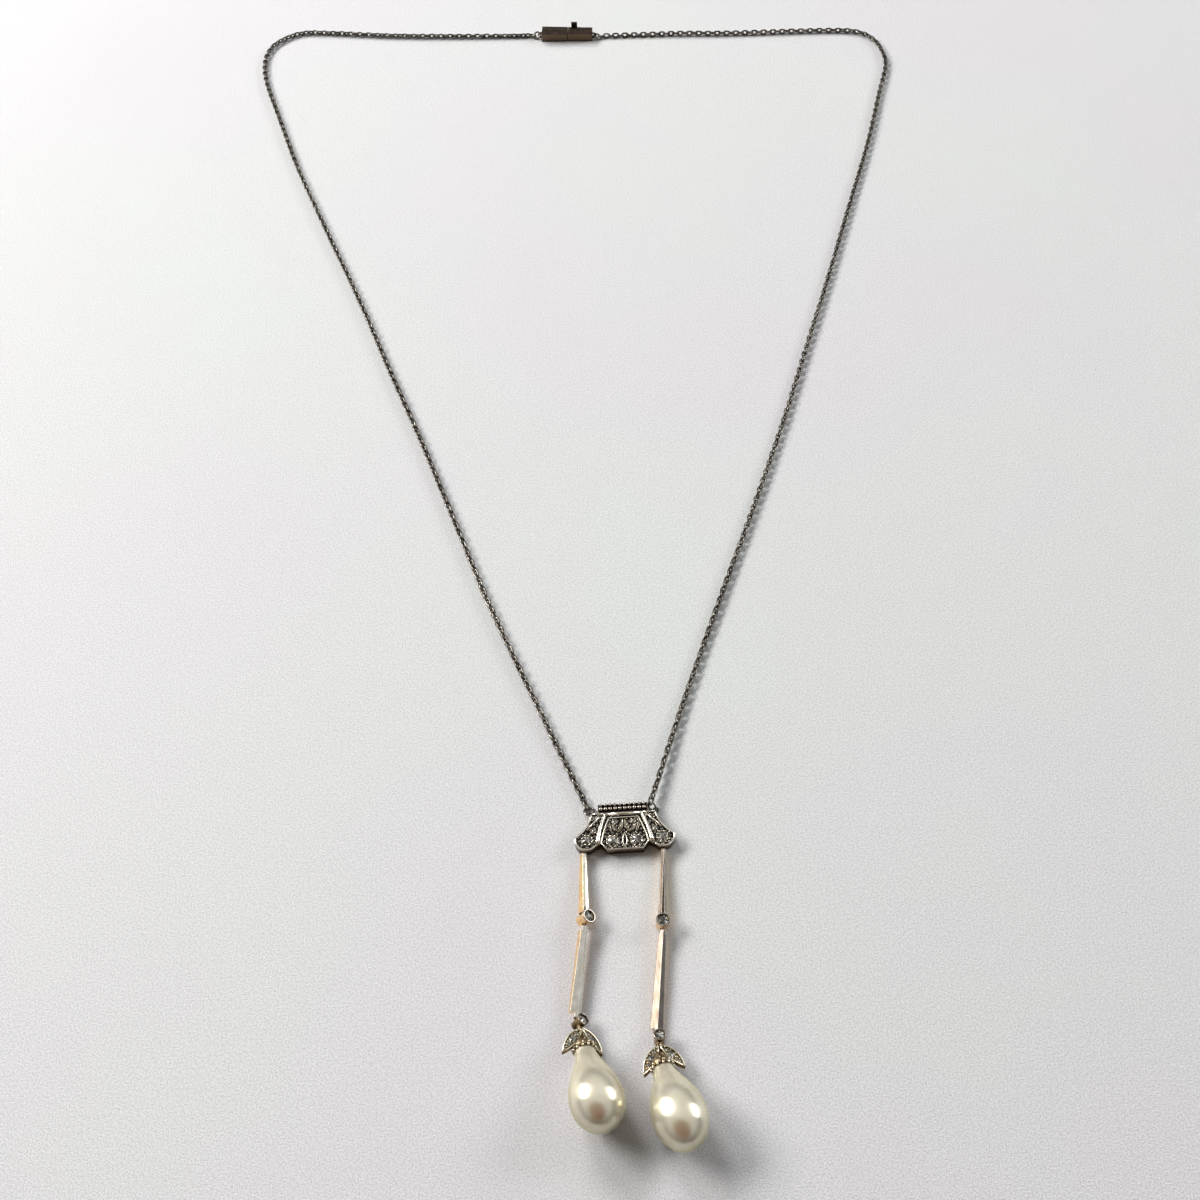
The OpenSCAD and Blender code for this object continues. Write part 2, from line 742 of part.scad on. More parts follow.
// Hollow cup over the pearl's end, with a row of grains on its lip and the peg in the pearl
module cup() {
    under_lip = pearl_r(pearl_l - (lip_at - neck_at)) + seat_gap;
    lip_r = under_lip + lip_wall;
    floor_at = neck_at - 2 * seat_gap;
    rotate([90, 0, 0]) {
        difference() {
            rotate_extrude($fn = fine) polygon([
                [0, 1.5], [stem_r, 1.5], [stem_r + 0.2, stem_end], [neck_r - 0.12, 2.55],
                [neck_r + 0.14, neck_at - 0.15], [lip_r, lip_at], [0, lip_at]
            ]);
            rotate_extrude($fn = fine) polygon([
                [0, floor_at], [neck_r + seat_gap, floor_at], [under_lip, lip_at + 0.01], [0, lip_at + 0.01]
            ]);
        }
        translate([0, 0, floor_at - 0.2]) cylinder(r = peg_r, h = peg_l, $fn = small);
        for (k = [0:lip_grains - 1]) rotate([0, 0, (k + 0.5) * 360 / lip_grains])
            translate([lip_r - 0.02, 0, lip_at - 0.12]) sphere(lip_grain_r, $fn = small);
    }
}

module leaf_cap(s) {
    at = cap_collet_at[s];
    reach = [at[0], at[1] + stem_end];
    color(CAP_GOLD) at_cap(s) difference() {
        union() {
            at_cap_collet(s) {
                collet(cap_collet_d, cap_collet_h);
                translate([0, cap_joint_reach() - joint_r, cap_joint_z]) ring(joint_r, joint_wire_r);
            }
            translate(at) rotate([0, 0, -atan2(reach[0], reach[1])]) rotate([90, 0, 0])
                cylinder(r = stem_r, h = norm(reach), $fn = fine);
            cup();
            // The leaves keep clear of the pearl under them
            difference() {
                for (side = [-1, 1]) leaf(s, side);
                pearl_body(leaf_gap);
            }
        }
        at_cap_collet(s) translate([0, 0, collet_girdle(cap_collet_d, cap_collet_h)])
            stone_seat(cap_collet_d * stone_share);
        for (side = [-1, 1]) for (k = [0:2]) at_leaf_stone(s, side, k) stone_seat(leaf_stone_d[k]);
    }
}

module cap_stone(s) {
    at_cap(s) at_cap_collet(s) collet_stone(cap_collet_d, cap_collet_h);
}

// Teardrop in the cap's frame with its round end towards -Y, larger by grow
module pearl_body(grow) {
    steps = 28;
    rows = [for (i = [0:steps])
        let (t = pearl_l * (1 - cos(180 * i / steps)) / 2)
        [(i == steps ? neck_r - pearl_edge : pearl_r(t)) + (i > 0 ? grow : 0), t]];
    translate([0, -cap_reach - belly, 0]) rotate([-90, 0, 0]) rotate_extrude($fn = fine)
        polygon(concat(rows, [[0, pearl_l]]));
}

module pearl(s) {
    color(NACRE) at_cap(s) difference() {
        pearl_body(0);
        // Bore for the cap's peg
        translate([0, pearl_l + gap - cap_reach - belly, 0]) rotate([90, 0, 0])
            cylinder(r = peg_r + 0.08, h = peg_l + 0.3, $fn = fine);
    }
}

chain_left();
chain_right();
clasp_box();
clasp_tongue();
plaque();
for (s = [0, 1]) {
    clasp_ring(s);
    plaque_ring(s);
    for (k = [0:len(PLAQUE_STONES) - 1])
        plaque_stone(k, s);
    upper_bar(s);
    upper_stone(s);
    lower_bar(s);
    leaf_cap(s);
    cap_stone(s);
    pearl(s);
    for (k = [0:2]) {
        leaf_stone(s, -1, k);
        leaf_stone(s, 1, k);
    }
}
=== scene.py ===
"""Looks of the uneven drop necklace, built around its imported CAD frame. Lengths are in metres."""
import math
import random

import bmesh
import bpy
from mathutils import Matrix, Vector
from mathutils.bvhtree import BVHTree


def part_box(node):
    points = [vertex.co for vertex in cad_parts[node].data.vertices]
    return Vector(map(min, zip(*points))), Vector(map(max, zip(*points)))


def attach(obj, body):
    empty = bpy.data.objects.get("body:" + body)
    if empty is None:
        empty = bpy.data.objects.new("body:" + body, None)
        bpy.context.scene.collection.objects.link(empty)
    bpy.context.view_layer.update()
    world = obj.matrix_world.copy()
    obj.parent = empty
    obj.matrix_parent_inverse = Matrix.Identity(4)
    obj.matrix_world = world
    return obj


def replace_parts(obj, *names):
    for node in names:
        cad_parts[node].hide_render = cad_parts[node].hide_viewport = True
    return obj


MM = 0.001
SIDES = ("left", "right")

# Camera of the photograph
LENS_MM = 42
SENSOR_MM = 36
CAMERA_AT = (-0.0007, -0.1388, 0.1638)
CAMERA_ELEVATION = 56.5
CAMERA_ROLL = -3.43
CLIP_START = 0.001

# Chain route in millimetres, as in the part's source
ROUTE = {
    "left": [
        (-4.4, -61.95), (-9.3, -48.5), (-16, -31), (-21.5, -14.5), (-26.5, 0.5), (-32, 16), (-37, 30.5),
        (-43.5, 48), (-49.5, 64.5), (-54, 79), (-57, 89), (-58, 95), (-57.5, 99.5), (-55.5, 102.5),
        (-51.5, 104.5), (-46, 104), (-33.5, 102), (-20, 100.5), (-7.6, 99.5),
    ],
    "right": [
        (4, -62.1), (9.5, -48), (16.5, -30.5), (22.5, -16), (29, 0.5), (34.5, 15.5), (40, 30.5),
        (46, 47.5), (51.5, 63), (55.5, 76), (58, 84), (58, 88.5), (57, 92), (54.5, 94.5),
        (50, 95.5), (42, 96), (31, 96.5), (19, 97.5), (6.5, 98.1),
    ],
}
CHAIN_W = 0.95 * MM
CHAIN_Z = CHAIN_W / 2
LINK_PITCH = 0.88 * MM
LINK_WIRE = 0.3 * MM
LINK_PLAY = 0.01 * MM
LINK_SEGMENTS = 16
LINK_WIRE_SIDES = 8
# Power of the link's oval. Under 1, it fills the shoulders
LINK_FULLNESS = 0.85
RING_WIRE_R = 0.14 * MM
# Twist of the links in degrees: a lean that fades towards the clasp, waves of (height, length in links
# by radian) and a random share
CHAIN_LEAN = 44
CHAIN_LEAN_FADE = 0.4
CHAIN_WAVES = ((12, 17), (7, 5.3))
CHAIN_JITTER = 8
ROUTE_STEPS = 12

# Roll of the drops' pieces about their length, in degrees, as in the part's source
BAR_ROLL = {"upper_bar_left": 36, "upper_bar_right": 5, "lower_bar_left": 30, "lower_bar_right": 10}
RIDGE_SLOPE = 38
# Colour, share of metal and roughness of each ridge's left and right slopes, which paint their light:
# a dark slope is painted shade, and a pale one with little metal is a painted highlight
SLOPE_PAINTED_LIGHT = {
    "upper_bar_left": (((0.95, 0.88, 0.74), 1, 0.16), ((0.92, 0.9, 0.8), 0.5, 0.25)),
    "upper_bar_right": (((0.1, 0.075, 0.057), 1, 0.35), ((0.62, 0.57, 0.49), 1, 0.22)),
    "lower_bar_left": (((0.7, 0.65, 0.59), 1, 0.2), ((0.9, 0.91, 0.82), 0.35, 0.3)),
    "lower_bar_right": (((0.12, 0.094, 0.076), 1, 0.4), ((0.15, 0.136, 0.124), 1, 0.2)),
}

# Bars whose collet has a rim painted dark, a painted shade, and the stone in it
RIMS_PAINTED_DARK = {"upper_bar_left": "upper_stone_left"}

# Aged metals. open_colours and roughness are two values that mix over the open faces, and hollow_colour lies
# in the hollows. hollows is how far they reach in mm, and the shares of open sky that count as hollow and as
# open. tint is a colour for the faces that turn away from above, from one cosine to another.
METALS = {
    # Wires, leaves and grains that stand out of the plaque's front
    "bright_silver": {
        "open_colours": ((0.6, 0.55, 0.46), (0.84, 0.8, 0.71)), "hollow_colour": (0.06, 0.05, 0.04),
        "roughness": (0.1, 0.22), "hollows": (0.12, 0.15, 0.7), "edge_mm": 0.02,
    },
    # Row of grains above the rail, and edges of the collets
    "row_silver": {
        "open_colours": ((0.2, 0.17, 0.13), (0.52, 0.47, 0.41)), "hollow_colour": (0.01, 0.007, 0.005),
        "roughness": (0.15, 0.3), "hollows": (0.5, 0.45, 0.85), "edge_mm": 0.02,
    },
    # Edges and grains of the leaf caps
    "bright_gold": {
        "open_colours": ((0.7, 0.6, 0.4), (0.88, 0.83, 0.68)), "hollow_colour": (0.08, 0.05, 0.02),
        "roughness": (0.12, 0.26), "hollows": (0.12, 0.15, 0.7), "edge_mm": 0.02,
    },
    "chain_metal": {
        "open_colours": ((0.05, 0.04, 0.032), (0.24, 0.22, 0.19)), "hollow_colour": (0.004, 0.003, 0.003),
        "roughness": (0.14, 0.3), "hollows": (0.3, 0.25, 0.85), "edge_mm": 0.01,
    },
    "clasp_metal": {
        "open_colours": ((0.03, 0.02, 0.013), (0.085, 0.06, 0.04)), "hollow_colour": (0.004, 0.003, 0.002),
        "roughness": (0.25, 0.5), "hollows": (0.5, 0.3, 0.9), "edge_mm": 0.07,
        "tint": ((0.125, 0.09, 0.058), 0.3, 0.8),
    },
    "ring_metal": {
        "open_colours": ((0.1, 0.085, 0.07), (0.3, 0.28, 0.25)), "hollow_colour": (0.008, 0.006, 0.005),
        "roughness": (0.16, 0.32), "hollows": (0.3, 0.2, 0.8), "edge_mm": 0.01,
    },
    "cap_gold": {
        "open_colours": ((0.11, 0.074, 0.034), (0.36, 0.27, 0.15)), "hollow_colour": (0.008, 0.005, 0.002),
        "roughness": (0.2, 0.4), "hollows": (0.8, 0.5, 0.95), "edge_mm": 0.04,
        "tint": ((0.34, 0.2, 0.07), 0.1, 0.6),
    },
}

# Plaque's place and the sizes of its relief in millimetres, as in the part's source
PLAQUE_AT = Vector((0.6, -68.6, 0))
PLAQUE_T = 1.35
GROUND_Z = 0.98
SETTING_Z = 1.16
PLAQUE_L = 6.2
RIM_W = 0.17
RIB_W = 0.42
SLIT_W = 0.2
STRIP_Y = 5.1
CORNER = (4.1, 5.04)
LOBE_AT = Vector((4.8, 1.62))
LOBE_R = 1.5
LOBE_ANGLES = (10, -135)
WING_BOW = -0.42
# How the wing's corner, the lobe's end in degrees and the bow follow an inset of the border
INSET_CORNER = 0.84
INSET_TURN = 20
INSET_BOW = 0.27
PANEL_TOP = Vector((1.92, 4.43))
PANEL_SIDE = Vector((3.04, 0.98))
PANEL_FOOT = Vector((2.28, 0))
PANEL_BOW = -0.12
PALMETTE = [((0.6, 2.32), 15, 1.9, 0.46), ((0.72, 2.3), -36, 1.5, 0.42), ((1.62, 2.3), -9, 1.6, 0.32)]
LANCE = ((0, 0.2), 0, 2.15, 0.66)
WING_RIB = ((2.74, 4.93), (4.69, 2.83))
PLAQUE_STONES = [((1.5, 1.22), 1.45), ((1.16, 3.88), 0.55), ((4.72, 1.56), 1.3), ((3.66, 4.4), 0.56),
                 ((3.86, 2.72), 0.56)]

# Relief in millimetres that this script adds to the plaque
WING_STEPS = 12
LOBE_STEPS = 24
PANEL_STEPS = 10
RAIL_HALF_W = 2.45
TOP_EDGE_X = 2.4
# Shares of the lance's width and length that its inner edge takes
LANCE_INNER = (0.78, 0.86)
# Heights of the foot and the ridge of the palmette's leaves
PALMETTE_Z = (PLAQUE_T - 0.05, PLAQUE_T + 0.17)
LARGE_STONE_D = 1
# Number and radius of the grains around a large and a small stone
SETTING_GRAINS = ((8, 0.13), (4, 0.1))
# Row of grains above the rail, each with a prong on the top edge, which it scallops: (y, z, radius) of both
ROW_GRAINS = 10
ROW_PITCH = 0.612
ROW_SHIFT = -0.06
ROW_GRAIN = (STRIP_Y + 0.56, GROUND_Z + 0.16, 0.3)
ROW_PRONG = (PLAQUE_L - 0.05, PLAQUE_T - 0.12, 0.21)
# What fills the open ground, largest first: radius, spacing, tries and least share of open ground around
GROUND_FILL = ((0.25, 0.56, 6000, 0.85), (0.18, 0.38, 8000, 0.75), (0.13, 0.24, 12000, 0.5))
FILL_X = 6.4
FILL_SIZES = (0.85, 1.1)
GROUND_TOLERANCE = 0.04
# Least spacing of a cut chip. What stands closer is a grain
CHIP_SPACING = 0.3
CHIP_Z = GROUND_Z + 0.1
FILL_GRAIN_Z = GROUND_Z + 0.14
# A height above the whole plaque
OVER_PLAQUE = 4
STONE_SEED = 7
GROUND_SEED = 11

# Pearls and caps in millimetres and degrees, as in the part's source
PEARL_TURN = (11.6, 14.2)
PEARL_RISE = 13.5
PEARL_AT = ((-4.5, -98.45), (4.55, -100.9))
PEARL_L = 10.4
PEARL_D = 6.3
# Distance of the belly from the round end, and bend of the shoulder
BELLY = PEARL_L * 0.43
SHOULDER_BEND = 1.28
NECK_R = 1.15
BORE_R = NECK_R - 0.35
NECK_AT = 3.15
LIP_AT = 3.55
CAP_ROLL = (28, 7)
CAP_COLLET_X = (0.3, 0.8)
LEAF_BASE = (0.42, -1.4, 0.25)
LEAF_SHIFT = 0.4
LEAF_ROOT = 0.65
LEAF_TURN = ((50, 41), (47, 41))
LEAF_DIP = 2
LEAF_WRAP = 15
LEAF_BEND_R = 9
LEAF_T = 0.42
LEAF_L = 3.8
LEAF_W = 1.35
LEAF_STONES = ((0.9, 0.48), (1.75, 0.9), (2.6, 0.45))

# Forms in millimetres that this script gives the pearls and caps. PEARL_FORMS holds the belly and the bend
# of the shoulder of each pearl as the photograph shows it
PEARL_FORMS = ((3.7, 1.1), (3.85, 1.25))
PEARL_ROWS = 72
PEARL_SEGMENTS = 96
# Raised edge of a leaf: length and width of its outline, its start and the radius of its wire
LEAF_EDGE_L = LEAF_L - 0.2
LEAF_EDGE_W = LEAF_W - 0.12
LEAF_EDGE_AT = 0.1
LEAF_EDGE_R = 0.085
# Grains around a leaf's stones and along its middle
SEAT_GRAIN_R = 0.085
LEAF_GRAIN_R = 0.08
LEAF_GRAINS = (0.45, 1.28, 2.28, 3.05, 3.3)
# Number and radius of the grains on the cup's lip
LIP_GRAINS = (12, 0.19)
# Rows of grains above the lip: radius of the row, distance from the cap's origin, number and radius
CUP_GRAINS = ((1.2, 3.14, 11, 0.19), (0.98, 2.76, 9, 0.18))

# Painted reflections of the stones' facets: colours by share of the facets
FACET_PAINTED_REFLECTIONS = ((0.0, (0.015, 0.013, 0.01)), (0.55, (0.05, 0.046, 0.038)), (0.92, (0.52, 0.49, 0.41)))
# Levels of a cut stone, from the table to the culet: corners, share of the radius, height and turn in steps
STONE_LEVELS = ((8, 0.3, 0.3, 0), (8, 0.78, 0.18, 0.5), (16, 1, 0.03, 0), (16, 1, -0.03, 0),
                (8, 0.62, -0.22, 0), (8, 0.16, -0.4, 0))
# The collets' stones reach further than the CAD's, under the edges
COLLET_STONE_SCALE = 1.09
BEZEL_STEPS = 40
BEZEL_RISE = 0.13 * MM
BEZEL_OUT = 0.06 * MM
BEZEL_WIRE_R = 0.1 * MM

# Studio
FLOOR_HALF = 1.5
DROPS_AT = Vector((0, -0.08, 0))
# Name, direction from the drops, (width, height), power, colour and whether shiny surfaces mirror it
LIGHTS = (
    ("key", (-0.75, 0.4, 0.55), (0.58, 0.33), 10, (1.0, 0.985, 0.96), True),
    ("second", (0.86, 0.37, 0.42), (0.56, 0.33), 4.2, (0.95, 0.98, 1.0), True),
    # Throws the shade in front of the plaque. The pearls mirror two lights, so it is hidden from them
    ("behind", (-0.35, 0.78, 0.5), (0.4, 0.25), 5.5, (1.0, 1.0, 1.0), False),
)
LIGHT_DISTANCE = 1
# Colours of the sky by height above the horizon
SKY = ((0.0, (0.13, 0.12, 0.1)), (0.25, (0.25, 0.25, 0.26)), (0.5, (0.74, 0.76, 0.75)))
# The dark warm shape of the photographer overhead, which the pearls and flat metal mirror, and the cosines
# to its direction between which it fades in
PHOTOGRAPHER_TOWARDS = (-0.08, -0.63, 0.77)
PHOTOGRAPHER_COLOUR = (0.22, 0.085, 0.025)
PHOTOGRAPHER_EDGE = (0.76, 0.88)
BACKDROP_GREY = 0.62
FILL_STRENGTH = 0.2

UP = Vector((0, 0, 1))


def material(name):
    mat = bpy.data.materials.new(name)
    mat.use_nodes = True
    return mat, mat.node_tree, mat.node_tree.nodes["Principled BSDF"]


def set_inputs(tree, made, inputs):
    """Gives a node its inputs. A value that is a socket is linked."""
    for key, value in inputs.items():
        if isinstance(value, bpy.types.NodeSocket):
            tree.links.new(value, made.inputs[key])
        else:
            made.inputs[key].default_value = value


def node(tree, kind, inputs=None, **settings):
    """New shader node with its settings and its inputs."""
    made = tree.nodes.new(kind)
    for key, value in settings.items():
        setattr(made, key, value)
    set_inputs(tree, made, inputs or {})
    return made


def place_mm(tree, stretch=(1, 1, 1)):
    """Object coordinates in millimetres."""
    place = node(tree, "ShaderNodeTexCoord").outputs["Object"]
    scale = tuple(share / MM for share in stretch)
    return node(tree, "ShaderNodeMapping", {"Vector": place, "Scale": scale}).outputs[0]


def noise(tree, place, scale, detail, roughness=0.5):
    inputs = {"Vector": place, "Scale": scale, "Detail": detail, "Roughness": roughness}
    return node(tree, "ShaderNodeTexNoise", inputs).outputs["Fac"]


def ramp(tree, factor, *stops):
    """Colour ramp through stops of (place, colour)."""
    made = node(tree, "ShaderNodeValToRGB", {"Fac": factor})
    elements = made.color_ramp.elements
    while len(elements) < len(stops):
        elements.new(0.5)
    for element, (at, colour) in zip(elements, stops):
        element.position = at
        element.color = (*colour, 1)
    return made.outputs["Color"]


def grey(value):
    return (value, value, value)


def rising(tree, factor, start, end):
    """From 0 at start to 1 at end."""
    return ramp(tree, factor, (start, grey(0)), (end, grey(1)))


def falling(tree, factor, start, end):
    """From 1 at start to 0 at end."""
    return ramp(tree, factor, (start, grey(1)), (end, grey(0)))


def mottle(tree, factor, first, second, spread=0.15):
    """Mix of two colours by a noise, which stays close to 0.5."""
    return ramp(tree, factor, (0.5 - spread, first), (0.5 + spread, second))


def mix(tree, factor, a, b, blend="MIX"):
    """Mix of two colours, each a socket or (red, green, blue)."""
    a, b = (c if isinstance(c, bpy.types.NodeSocket) else (*c, 1) for c in (a, b))
    inputs = {0: factor, 6: a, 7: b}
    return node(tree, "ShaderNodeMix", inputs, data_type="RGBA", blend_type=blend).outputs[2]


def times(tree, a, b):
    return mix(tree, 1.0, a, b, "MULTIPLY")


def math_node(tree, operation, a, b):
    return node(tree, "ShaderNodeMath", {0: a, 1: b}, operation=operation).outputs[0]


def vector_node(tree, operation, a, b, output="Value"):
    return node(tree, "ShaderNodeVectorMath", {0: a, 1: b}, operation=operation).outputs[output]


def facing(tree, direction):
    """Cosine between the surface's normal and a fixed direction."""
    normal = node(tree, "ShaderNodeNewGeometry").outputs["Normal"]
    return vector_node(tree, "DOT_PRODUCT", normal, direction)


def recess(tree, reach_mm, hollow, clear):
    """From 0 in the hollows to 1 in the open, between the two shares of open sky."""
    made = node(tree, "ShaderNodeAmbientOcclusion", {"Distance": reach_mm * MM}, samples=8)
    return rising(tree, made.outputs["AO"], hollow, clear)


def worn_normal(tree, height, distance_mm, strength, edge_mm):
    """Normal with softened edges and a fine bump."""
    edge = node(tree, "ShaderNodeBevel", {"Radius": edge_mm * MM}, samples=4).outputs[0]
    inputs = {"Height": height, "Distance": distance_mm * MM, "Strength": strength, "Normal": edge}
    return node(tree, "ShaderNodeBump", inputs).outputs[0]


def edge_highlight_mask(tree):
    """1 along sharp edges, where the flat normal leaves the rounded one, and 0 elsewhere. It places a painted
    highlight.
    """
    flat = node(tree, "ShaderNodeNewGeometry").outputs["True Normal"]
    rounded = node(tree, "ShaderNodeBevel", {"Radius": 0.07 * MM}).outputs[0]
    likeness = vector_node(tree, "DOT_PRODUCT", flat, rounded)
    return falling(tree, likeness, 0.975, 0.995)


def old_metal(name):
    """One of METALS."""
    look = METALS[name]
    mat, tree, shader = material(name)
    place = place_mm(tree)
    blotch = noise(tree, place, scale=1.3, detail=4, roughness=0.6)
    fine = noise(tree, place, scale=14, detail=3, roughness=0.6)
    colour = mottle(tree, blotch, *look["open_colours"])
    if "tint" in look:
        tint_colour, start, end = look["tint"]
        colour = mix(tree, falling(tree, facing(tree, UP), start, end), colour, tint_colour)
    open_share = recess(tree, *look["hollows"])
    rough = mottle(tree, fine, *map(grey, look["roughness"]), spread=0.2)
    set_inputs(tree, shader, {
        "Base Color": mix(tree, open_share, look["hollow_colour"], colour),
        "Metallic": 1.0,
        "Roughness": mix(tree, open_share, grey(0.6), rough),
        "Normal": worn_normal(tree, fine, distance_mm=0.02, strength=0.25, edge_mm=look["edge_mm"]),
    })
    return mat


def plaque_silver():
    """Silver front, polished where it stands proud and black in its ground, over a gold back that is painted
    dark as shade.
    """
    mat, tree, shader = material("plaque_silver")
    place = place_mm(tree)
    split = node(tree, "ShaderNodeSeparateXYZ", {0: place}).outputs
    # Halved, as ramps end at 1 and the plaque is thicker than 1 mm
    half_height = math_node(tree, "MULTIPLY", split["Z"], 0.5)
    blotch = noise(tree, place, scale=1.1, detail=4, roughness=0.6)
    fine = noise(tree, place, scale=13, detail=3, roughness=0.6)
    # The strip of grains is darker than the rest
    in_strip = math_node(tree, "ADD", split["Y"], -PLAQUE_AT.y - STRIP_Y)
    front = mottle(tree, blotch, (0.26, 0.22, 0.17), (0.5, 0.44, 0.35))
    front = times(tree, front, ramp(tree, in_strip, (0.02, grey(1)), (0.06, (0.2, 0.17, 0.14))))
    # Painted shade: the gold back below the front is darkened
    back = mottle(tree, blotch, (0.07, 0.04, 0.018), (0.2, 0.12, 0.055))
    colour = mix(tree, rising(tree, half_height, 0.42, 0.47), back, front)
    ground = times(tree, falling(tree, half_height, 0.51, 0.54), rising(tree, facing(tree, UP), 0.4, 0.7))
    open_share = recess(tree, reach_mm=0.45, hollow=0.35, clear=0.9)
    colour = mix(tree, open_share, (0.014, 0.011, 0.009), colour)
    rough = mottle(tree, fine, grey(0.2), grey(0.36), spread=0.2)
    set_inputs(tree, shader, {
        "Base Color": mix(tree, ground, colour, (0.035, 0.029, 0.024)),
        "Metallic": 1.0,
        "Roughness": mix(tree, ground, rough, grey(0.55)),
        "Normal": worn_normal(tree, fine, distance_mm=0.02, strength=0.3, edge_mm=0.07),
    })
    return mat


def bar_metal(name):
    """Pale gold with a white metal ridge, parted where the surface turns down to the bar's walls.
    Its slopes carry painted shade and painted highlights, a painted highlight runs along the ridge's sharp
    edge, and a collet's rim may be painted dark as shade.
    """
    mat, tree, shader = material("metal_" + name)
    roll = BAR_ROLL[name]
    leans = (math.radians(degrees) for degrees in (roll, roll + RIDGE_SLOPE))
    up, right = ((math.sin(lean), 0, math.cos(lean)) for lean in leans)
    place = place_mm(tree)
    along = noise(tree, place_mm(tree, (5, 0.4, 5)), scale=1, detail=4, roughness=0.6)
    blotch = noise(tree, place, scale=0.9, detail=3)
    on_top = rising(tree, facing(tree, up), 0.45, 0.55)
    on_right = rising(tree, facing(tree, right), 0.9, 0.95)
    (left_painted_colour, left_metal, left_rough), (right_painted_colour, right_metal, right_rough) = SLOPE_PAINTED_LIGHT[name]

    # Each slope's colour and share of metal paint its shade or highlight
    white = mix(tree, on_right, left_painted_colour, right_painted_colour)
    white = times(tree, white, mottle(tree, blotch, (0.78, 0.76, 0.72), grey(1)))
    gold = mottle(tree, blotch, (0.86, 0.54, 0.24), (0.98, 0.72, 0.4))
    colour = mix(tree, on_top, gold, white)
    metal = mix(tree, on_top, grey(1), mix(tree, on_right, grey(left_metal), grey(right_metal)))
    rough = mix(tree, on_top, grey(0.2), mix(tree, on_right, grey(left_rough), grey(right_rough)))
    # Painted highlight: the sharp edge between the slopes is a near-white line with little metal
    edge = times(tree, edge_highlight_mask(tree), on_top)
    colour = mix(tree, edge, colour, (1.0, 0.98, 0.93))
    metal = mix(tree, edge, metal, grey(0.1))
    # Painted shade: the collet's rim is darkened
    if name in RIMS_PAINTED_DARK:
        collet = stone_frame(RIMS_PAINTED_DARK[name])[0] / MM
        # Halved, as ramps end at 1
        half_distance = math_node(tree, "MULTIPLY", vector_node(tree, "DISTANCE", place, collet), 0.5)
        rim = times(tree, falling(tree, half_distance, 0.7, 0.73), on_top)
        colour = mix(tree, rim, colour, (0.3, 0.27, 0.23))
        metal = mix(tree, rim, metal, grey(1))
    open_share = recess(tree, reach_mm=0.3, hollow=0.25, clear=0.85)
    set_inputs(tree, shader, {
        "Base Color": mix(tree, open_share, (0.05, 0.028, 0.012), colour),
        "Metallic": metal,
        "Roughness": times(tree, rough, mottle(tree, along, grey(0.6), grey(1), spread=0.2)),
        "Normal": worn_normal(tree, along, distance_mm=0.012, strength=0.2, edge_mm=0.06),
    })
    return mat


def stone_glass():
    """Old cut stones over dark seats. Each facet has its own painted reflection, from dark to bright, as real
    ones mirror their back.
    """
    mat, tree, shader = material("stone_glass")
    normal = node(tree, "ShaderNodeNewGeometry").outputs["True Normal"]
    coarse = vector_node(tree, "SNAP", normal, grey(0.01), "Vector")
    facet = node(tree, "ShaderNodeTexWhiteNoise", {"Vector": coarse}).outputs["Value"]
    set_inputs(tree, shader, {
        "Base Color": ramp(tree, facet, *FACET_PAINTED_REFLECTIONS),
        "Metallic": 0.4,
        "Roughness": 0.05,
        "IOR": 2.0,
    })
    return mat


def nacre():
    mat, tree, shader = material("nacre")
    place = place_mm(tree)
    cloud = noise(tree, place, scale=0.45, detail=3)
    fine = noise(tree, place, scale=9, detail=4, roughness=0.6)
    bump = {"Height": fine, "Distance": 0.004 * MM, "Strength": 0.2}
    set_inputs(tree, shader, {
        "Base Color": mottle(tree, cloud, (0.65, 0.59, 0.45), (0.73, 0.68, 0.55)),
        "Metallic": 0.7,
        "Roughness": 0.25,
        # Spreads the highlights round the pearl, which its length would otherwise draw out
        "Anisotropic": 0.75,
        "Tangent": node(tree, "ShaderNodeTangent", direction_type="RADIAL", axis="Y").outputs[0],
        "Specular Tint": (0.84, 0.9, 0.62, 1),
        "Coat Weight": 0.15,
        "Coat Roughness": 0.16,
        "Coat IOR": 1.7,
        "Normal": node(tree, "ShaderNodeBump", bump).outputs[0],
    })
    return mat


def floor_white():
    mat, tree, shader = material("floor_white")
    place = place_mm(tree)
    grain = noise(tree, place, scale=5, detail=3, roughness=0.7)
    cloud = noise(tree, place, scale=0.014, detail=3)
    paper = mottle(tree, cloud, (0.79, 0.765, 0.795), (0.78, 0.8, 0.785))
    speckle = ramp(tree, grain, (0.36, grey(0.66)), (0.62, grey(1)))
    bump = {"Height": grain, "Distance": 0.12 * MM, "Strength": 0.7}
    set_inputs(tree, shader, {
        "Base Color": times(tree, paper, speckle),
        "Roughness": 0.6,
        "Normal": node(tree, "ShaderNodeBump", bump).outputs[0],
    })
    return mat


def add_object(name, mesh):
    made = bpy.data.objects.new(name, mesh)
    bpy.context.scene.collection.objects.link(made)
    return made


def piece(name, shapes, mat, smooth=True):
    """One piece of the necklace from several closed (points, faces) shapes."""
    points, faces = [], []
    for shape_points, shape_faces in shapes:
        first = len(points)
        points += shape_points
        faces += [tuple(first + i for i in face) for face in shape_faces]
    mesh = bpy.data.meshes.new(name)
    mesh.from_pydata(points, [], faces)
    mesh.materials.append(mat)
    outward = bmesh.new()
    outward.from_mesh(mesh)
    bmesh.ops.recalc_face_normals(outward, faces=outward.faces)
    outward.to_mesh(mesh)
    outward.free()
    for polygon in mesh.polygons:
        polygon.use_smooth = smooth
    mesh.update()
    made = add_object(name, mesh)
    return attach(made, "root")


def ring_faces(rings, sides, closed=False):
    """Faces between neighbouring rings of points. Closed joins the last ring to the first."""
    faces = []
    for i in range(rings if closed else rings - 1):
        here, there = i * sides, (i + 1) % rings * sides
        for k in range(sides):
            k2 = (k + 1) % sides
            faces.append((here + k, there + k, there + k2, here + k2))
    return faces


